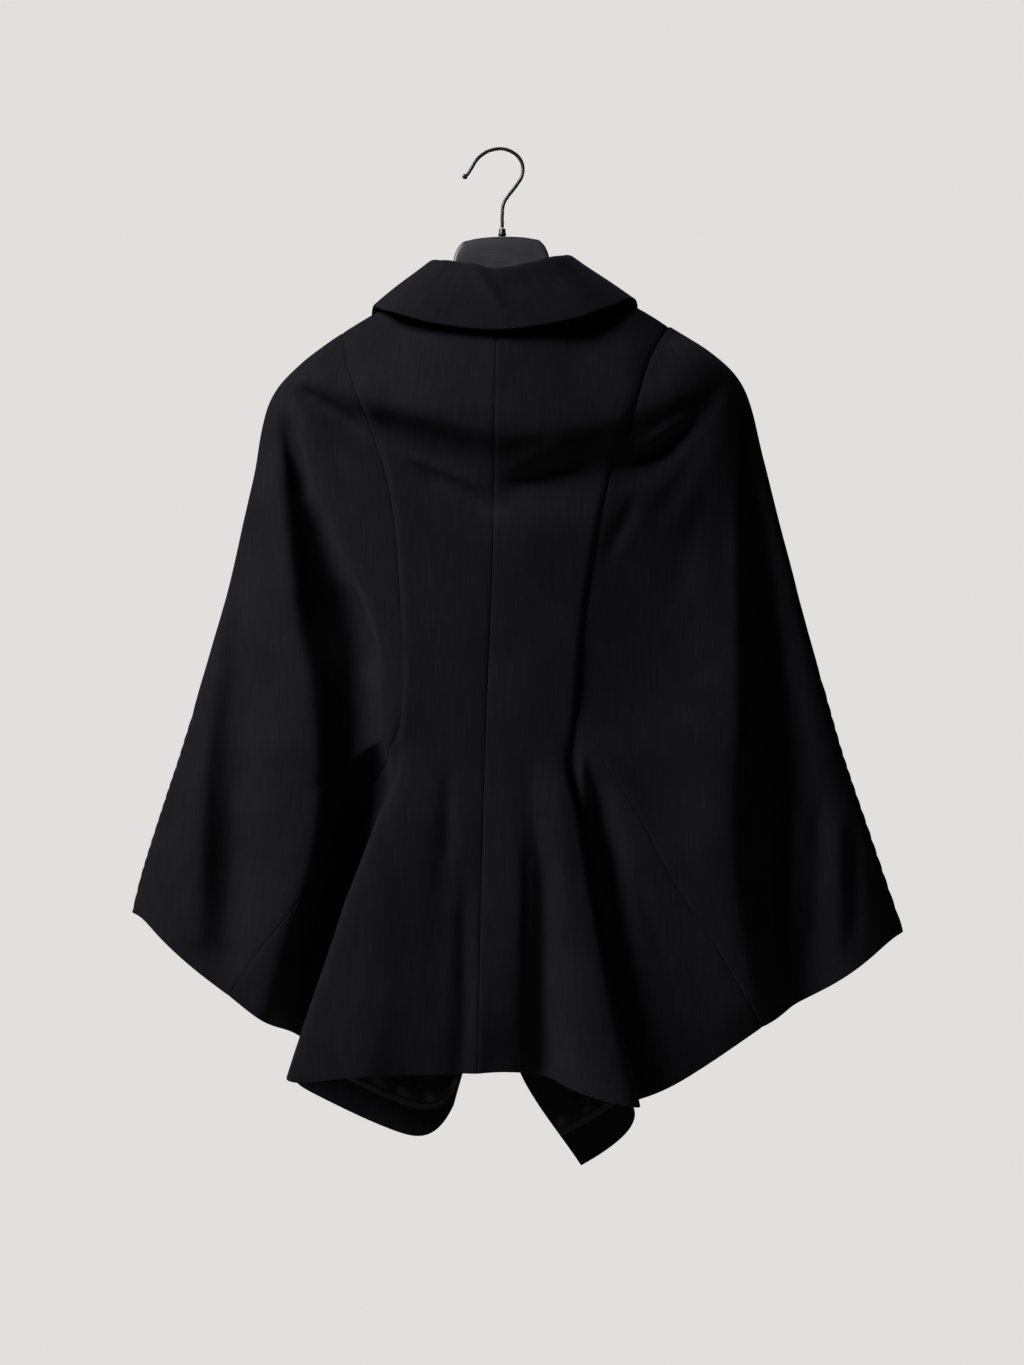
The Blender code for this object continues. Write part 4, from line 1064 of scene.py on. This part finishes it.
def add_front_layers(finished, wool, lining_satin, painted_highlight_binding):
    """Inside each front's hem: its facing, the binding on the facing's edge, and the lining above."""
    inside = WALL / 2 + LAYER_GAP + LAYER_WALL / 2
    over_facing = inside + LAYER_WALL / 2 + BINDING_WALL
    top = HEM - FACING_ROWS
    for _, name in SIDES:
        front = finished["front_" + name]
        # The binding's satin is painted lighter: a painted highlight along the facing's edge
        levels = np.linspace(top - BINDING_ROWS, top + BINDING_ROWS * BINDING_LAP, BINDING_STEPS)
        cloth = "binding_" + name + "_cloth"
        binding, _ = front_layer(cloth, front, levels, over_facing, BINDING_WALL, painted_highlight_binding)
        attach(binding, "root")
        levels = np.linspace(top, HEM - HEM_INSET_ROWS, FACING_STEPS)
        facing, points = front_layer("facing_" + name + "_cloth", front, levels, inside, LAYER_WALL, wool)
        declare(facing, points, "facing_" + name)
        levels = np.linspace(top - LINING_ROWS, top - HEM_INSET_ROWS, LINING_STEPS)
        cloth = "lining_" + name + "_cloth"
        lining, points = front_layer(cloth, front, levels, inside, LINING_WALL, lining_satin, PLEAT_DEPTH)
        declare(lining, points, "lining_" + name)


def collar_net():
    """The collar from the leaf's edge up over the roll and down the stand to the neck seam."""
    stations = np.arange(len(COLLAR))
    places = np.linspace(0, len(COLLAR) - 1, COLLAR_COLUMNS)
    values = along(np.column_stack([stations, np.asarray(COLLAR, float)]), places)
    neck, roll, edge = values[:, 0:3], values[:, 3:6], values[:, 6:9]
    fall = edge - roll
    size = np.minimum(np.linalg.norm(fall, axis=1, keepdims=True) / 3, ROLL_RADIUS)
    outward = fall.copy()
    outward[:, 2] = 0
    outward /= np.maximum(np.linalg.norm(outward, axis=1, keepdims=True), 1e-6)
    up = np.array([0, 0, 1.0])
    raised = outward * LEAF_OUT + up * LEAF_UP
    bulge = raised * COLLAR_BULGE * size / ROLL_RADIUS
    far, near = LEAF_SHARES
    controls = [
        edge,
        roll + fall * far + bulge,
        roll + fall * near + bulge,
        roll + outward * size,
        roll + up * size * ROLL_TOP,
        roll - outward * size - up * size * ROLL_INSIDE,
        neck + (roll - neck) * STAND_SHARE - outward * size * STAND_IN,
        neck,
    ]
    return net_of(np.stack(controls, axis=1), COLLAR_ROWS)


def add_collar(wool):
    net, _, run = collar_net()
    across = np.gradient(net, axis=1)
    down = np.gradient(net, axis=0)
    normals = np.cross(across, down)
    normals /= np.linalg.norm(normals, axis=-1, keepdims=True)
    set_in = np.zeros(net.shape[:2])
    on_back = net[..., 1] < COLLAR_BACK
    for x0, z0, x1, z1, width, deep in COLLAR_DENTS:
        start, along_it = np.array([x0, z0]), np.array([x1 - x0, z1 - z0])
        place = net[..., [0, 2]] - start
        share = np.clip(place @ along_it / (along_it @ along_it), 0, 1)
        away = np.linalg.norm(place - share[..., None] * along_it, axis=-1)
        tapered = 4 * share * (1 - share)
        set_in += deep * tapered * np.exp(-((away / width) ** 2)) * on_back
    set_in += COLLAR_UNEVENNESS * unevenness(net.reshape(-1, 3)).reshape(net.shape[:2])
    set_in *= smooth_step(run / COLLAR_EDGE)
    creased = net - normals * set_in[..., None]
    round_neck = np.concatenate([[0], np.linalg.norm(np.diff(net[:, 0], axis=0), axis=1).cumsum()])
    weave = np.stack([np.broadcast_to(round_neck[:, None], run.shape), run], axis=-1)
    piece = cloth_shell("collar_cloth", creased, normals, weave, wool, COLLAR_WALL)
    declare(piece, net, "collar")


def tilted(points):
    """Points of the hanger, turned about the hook's crown to the way it hangs."""
    cosine, sine = math.cos(HANGER_TILT), math.sin(HANGER_TILT)
    x, y, z = points[:, 0], points[:, 1], points[:, 2]
    return np.stack([x * cosine - z * sine, y, x * sine + z * cosine], axis=1)


def ring_mesh(name, rings, finish):
    """A closed mesh object from rings of points, each joined to the next one."""
    sides = len(rings[0])
    faces = []
    for ring in range(len(rings) - 1):
        for i in range(sides):
            here, there, after = ring * sides, (ring + 1) * sides, (i + 1) % sides
            faces.append([here + i, here + after, there + after, there + i])
    faces.append(list(range(sides))[::-1])
    faces.append([(len(rings) - 1) * sides + i for i in range(sides)])
    return mesh_of(name, np.concatenate(rings), faces, finish)


def add_hanger(plastic):
    """The hanger's moulded body: a flat-faced head with a rolled lip, and arms that round off outwards."""
    table = [(-x, *section) for x, *section in reversed(HANGER[1:])] + list(HANGER)
    spans = zip(table, table[1:])
    at = [np.linspace(one[0], two[0], HANGER_PARTS, endpoint=False) for one, two in spans]
    at = np.append(np.concatenate(at), table[-1][0])
    turn = 2 * math.pi * (np.arange(HANGER_SIDES) + 0.5) / HANGER_SIDES
    rings = []
    for x, (top, bottom, depth) in zip(at, along(table, at)):
        head = float(smooth_step((HEAD_END - abs(x)) / HEAD_FADE))
        flat_face = ARM_FACE - HEAD_FLATTER * head
        y = depth * np.copysign(np.abs(np.cos(turn)) ** flat_face, np.cos(turn))
        rise = np.copysign(np.abs(np.sin(turn)) ** HANGER_EDGE, np.sin(turn))
        z = (top + bottom) / 2 + (top - bottom) / 2 * rise
        rings.append(tilted(np.stack([np.full(HANGER_SIDES, x), y, z], axis=1)))
    stand_for(ring_mesh("hanger_moulding", rings, plastic), "hanger_body")


def tube(name, route, radii, sides, finish):
    """A closed round tube along a route, with rounded ends where its radii close."""
    steps = np.gradient(route, axis=0)
    steps /= np.linalg.norm(steps, axis=1, keepdims=True)
    side = np.array([0.0, 1.0, 0.0])
    turn = 2 * math.pi * np.arange(sides) / sides
    rings = []
    for point, step, radius in zip(route, steps, radii):
        up = np.cross(side, step)
        up /= np.linalg.norm(up)
        rings.append(point + radius * (np.outer(np.cos(turn), side) + np.outer(np.sin(turn), up)))
    return ring_mesh(name, rings, finish)


def add_hook(wire):
    """The wire hook, with a ball at its tip."""
    table = [(i, x, 0.0, z) for i, (x, z) in enumerate(HOOK)]
    last = len(HOOK) - 1
    route = along(table, np.linspace(0, last, last * HOOK_SAMPLES + 1))
    to_tip = np.linalg.norm(route - route[-1], axis=1)
    wire_radius, ball = HOOK_WIRE / 2, HOOK_TIP_BALL / 2
    radii = np.full(len(route), wire_radius)
    from_middle = np.clip(np.abs(to_tip - ball) / ball, 0, 1)
    swell = ball * np.sqrt(1 - from_middle**2)
    near_tip = to_tip < 2 * ball
    least = np.where(to_tip[near_tip] < ball, TIP_END, wire_radius)
    radii[near_tip] = np.maximum(least, swell[near_tip])
    stand_for(tube("hook_wire", route, radii, HOOK_SIDES, wire), "hanger_hook")


def add_ferrule(wire):
    """The turned collar that the hook's stem goes into, with a lip at its foot."""
    x = HOOK[0][0]
    route = np.array([(x, 0.0, z) for _, z in FERRULE])
    radii = [FERRULE_RADIUS * share for share, _ in FERRULE]
    stand_for(tube("ferrule_turned", route, radii, FERRULE_SIDES, wire), "hanger_ferrule")


def add_camera():
    data = bpy.data.cameras.new("camera")
    data.sensor_width = SENSOR
    data.lens = SENSOR * CAMERA_AWAY / VIEW_HEIGHT
    camera = bpy.data.objects.new("camera", data)
    camera.location = (CAMERA_X, -CAMERA_AWAY, CAMERA_Z)
    camera.rotation_euler = (math.radians(90), 0, 0)
    bpy.context.scene.collection.objects.link(camera)
    bpy.context.scene.camera = camera


def add_light(name, place, size, power, colour):
    """A round light that shines on the coat's middle."""
    data = bpy.data.lights.new(name, "AREA")
    data.shape = "DISK"
    data.size = size
    data.energy = power
    data.color = colour
    light = bpy.data.objects.new(name, data)
    light.location = place
    light.rotation_euler = (Vector(MIDDLE) - Vector(place)).to_track_quat("-Z", "Y").to_euler()
    bpy.context.scene.collection.objects.link(light)


def add_studio():
    """A pale floor under the coat, soft light and a pale surround."""
    place = (0, 0, FLOOR_Z)
    bpy.ops.mesh.primitive_circle_add(
        vertices=FLOOR_SIDES, radius=FLOOR_RADIUS, fill_type="NGON", location=place
    )
    floor = bpy.context.object
    floor.name = "floor"
    finish, tree, shader = new_material("pale_floor")
    fill(tree, shader, {"Base Color": FLOOR_COLOUR, "Roughness": 0.8})
    floor.data.materials.append(finish)
    for light in LIGHTS:
        add_light(*light)
    world = bpy.data.worlds.new("surround")
    bpy.context.scene.world = world
    world.use_nodes = True
    tree = world.node_tree
    seen = tree.nodes["Background"]
    fill(tree, seen, {"Color": SURROUND_COLOUR})
    dim = add_node(tree, "Background", {"Color": AMBIENT_COLOUR, "Strength": AMBIENT})
    direct = add_node(tree, "LightPath", {}).outputs["Is Camera Ray"]
    both = add_node(tree, "MixShader", {0: direct, 1: dim.outputs[0], 2: seen.outputs[0]})
    fill(tree, tree.nodes["World Output"], {"Surface": both.outputs[0]})


def main():
    for old in ("Cube", "Light", "Camera"):
        if old in bpy.data.objects:
            bpy.data.objects.remove(bpy.data.objects[old])
    bpy.context.scene.view_settings.view_transform = "Standard"
    add_camera()
    wool = wool_material()
    lining_satin = satin_material("black_satin", *LINING_SATIN)
    # The binding's satin carries a painted highlight in its lighter colour
    painted_highlight_binding = satin_material("satin_painted_highlight", *PAINTED_HIGHLIGHT_BINDING)
    plastic, wire = plastic_material(), wire_material()
    finished = add_coat(wool)
    add_front_layers(finished, wool, lining_satin, painted_highlight_binding)
    add_collar(wool)
    add_hanger(plastic)
    add_hook(wire)
    add_ferrule(wire)
    add_studio()
    for name, cut in CUTS.items():
        print("cut", name, *cut)


main()
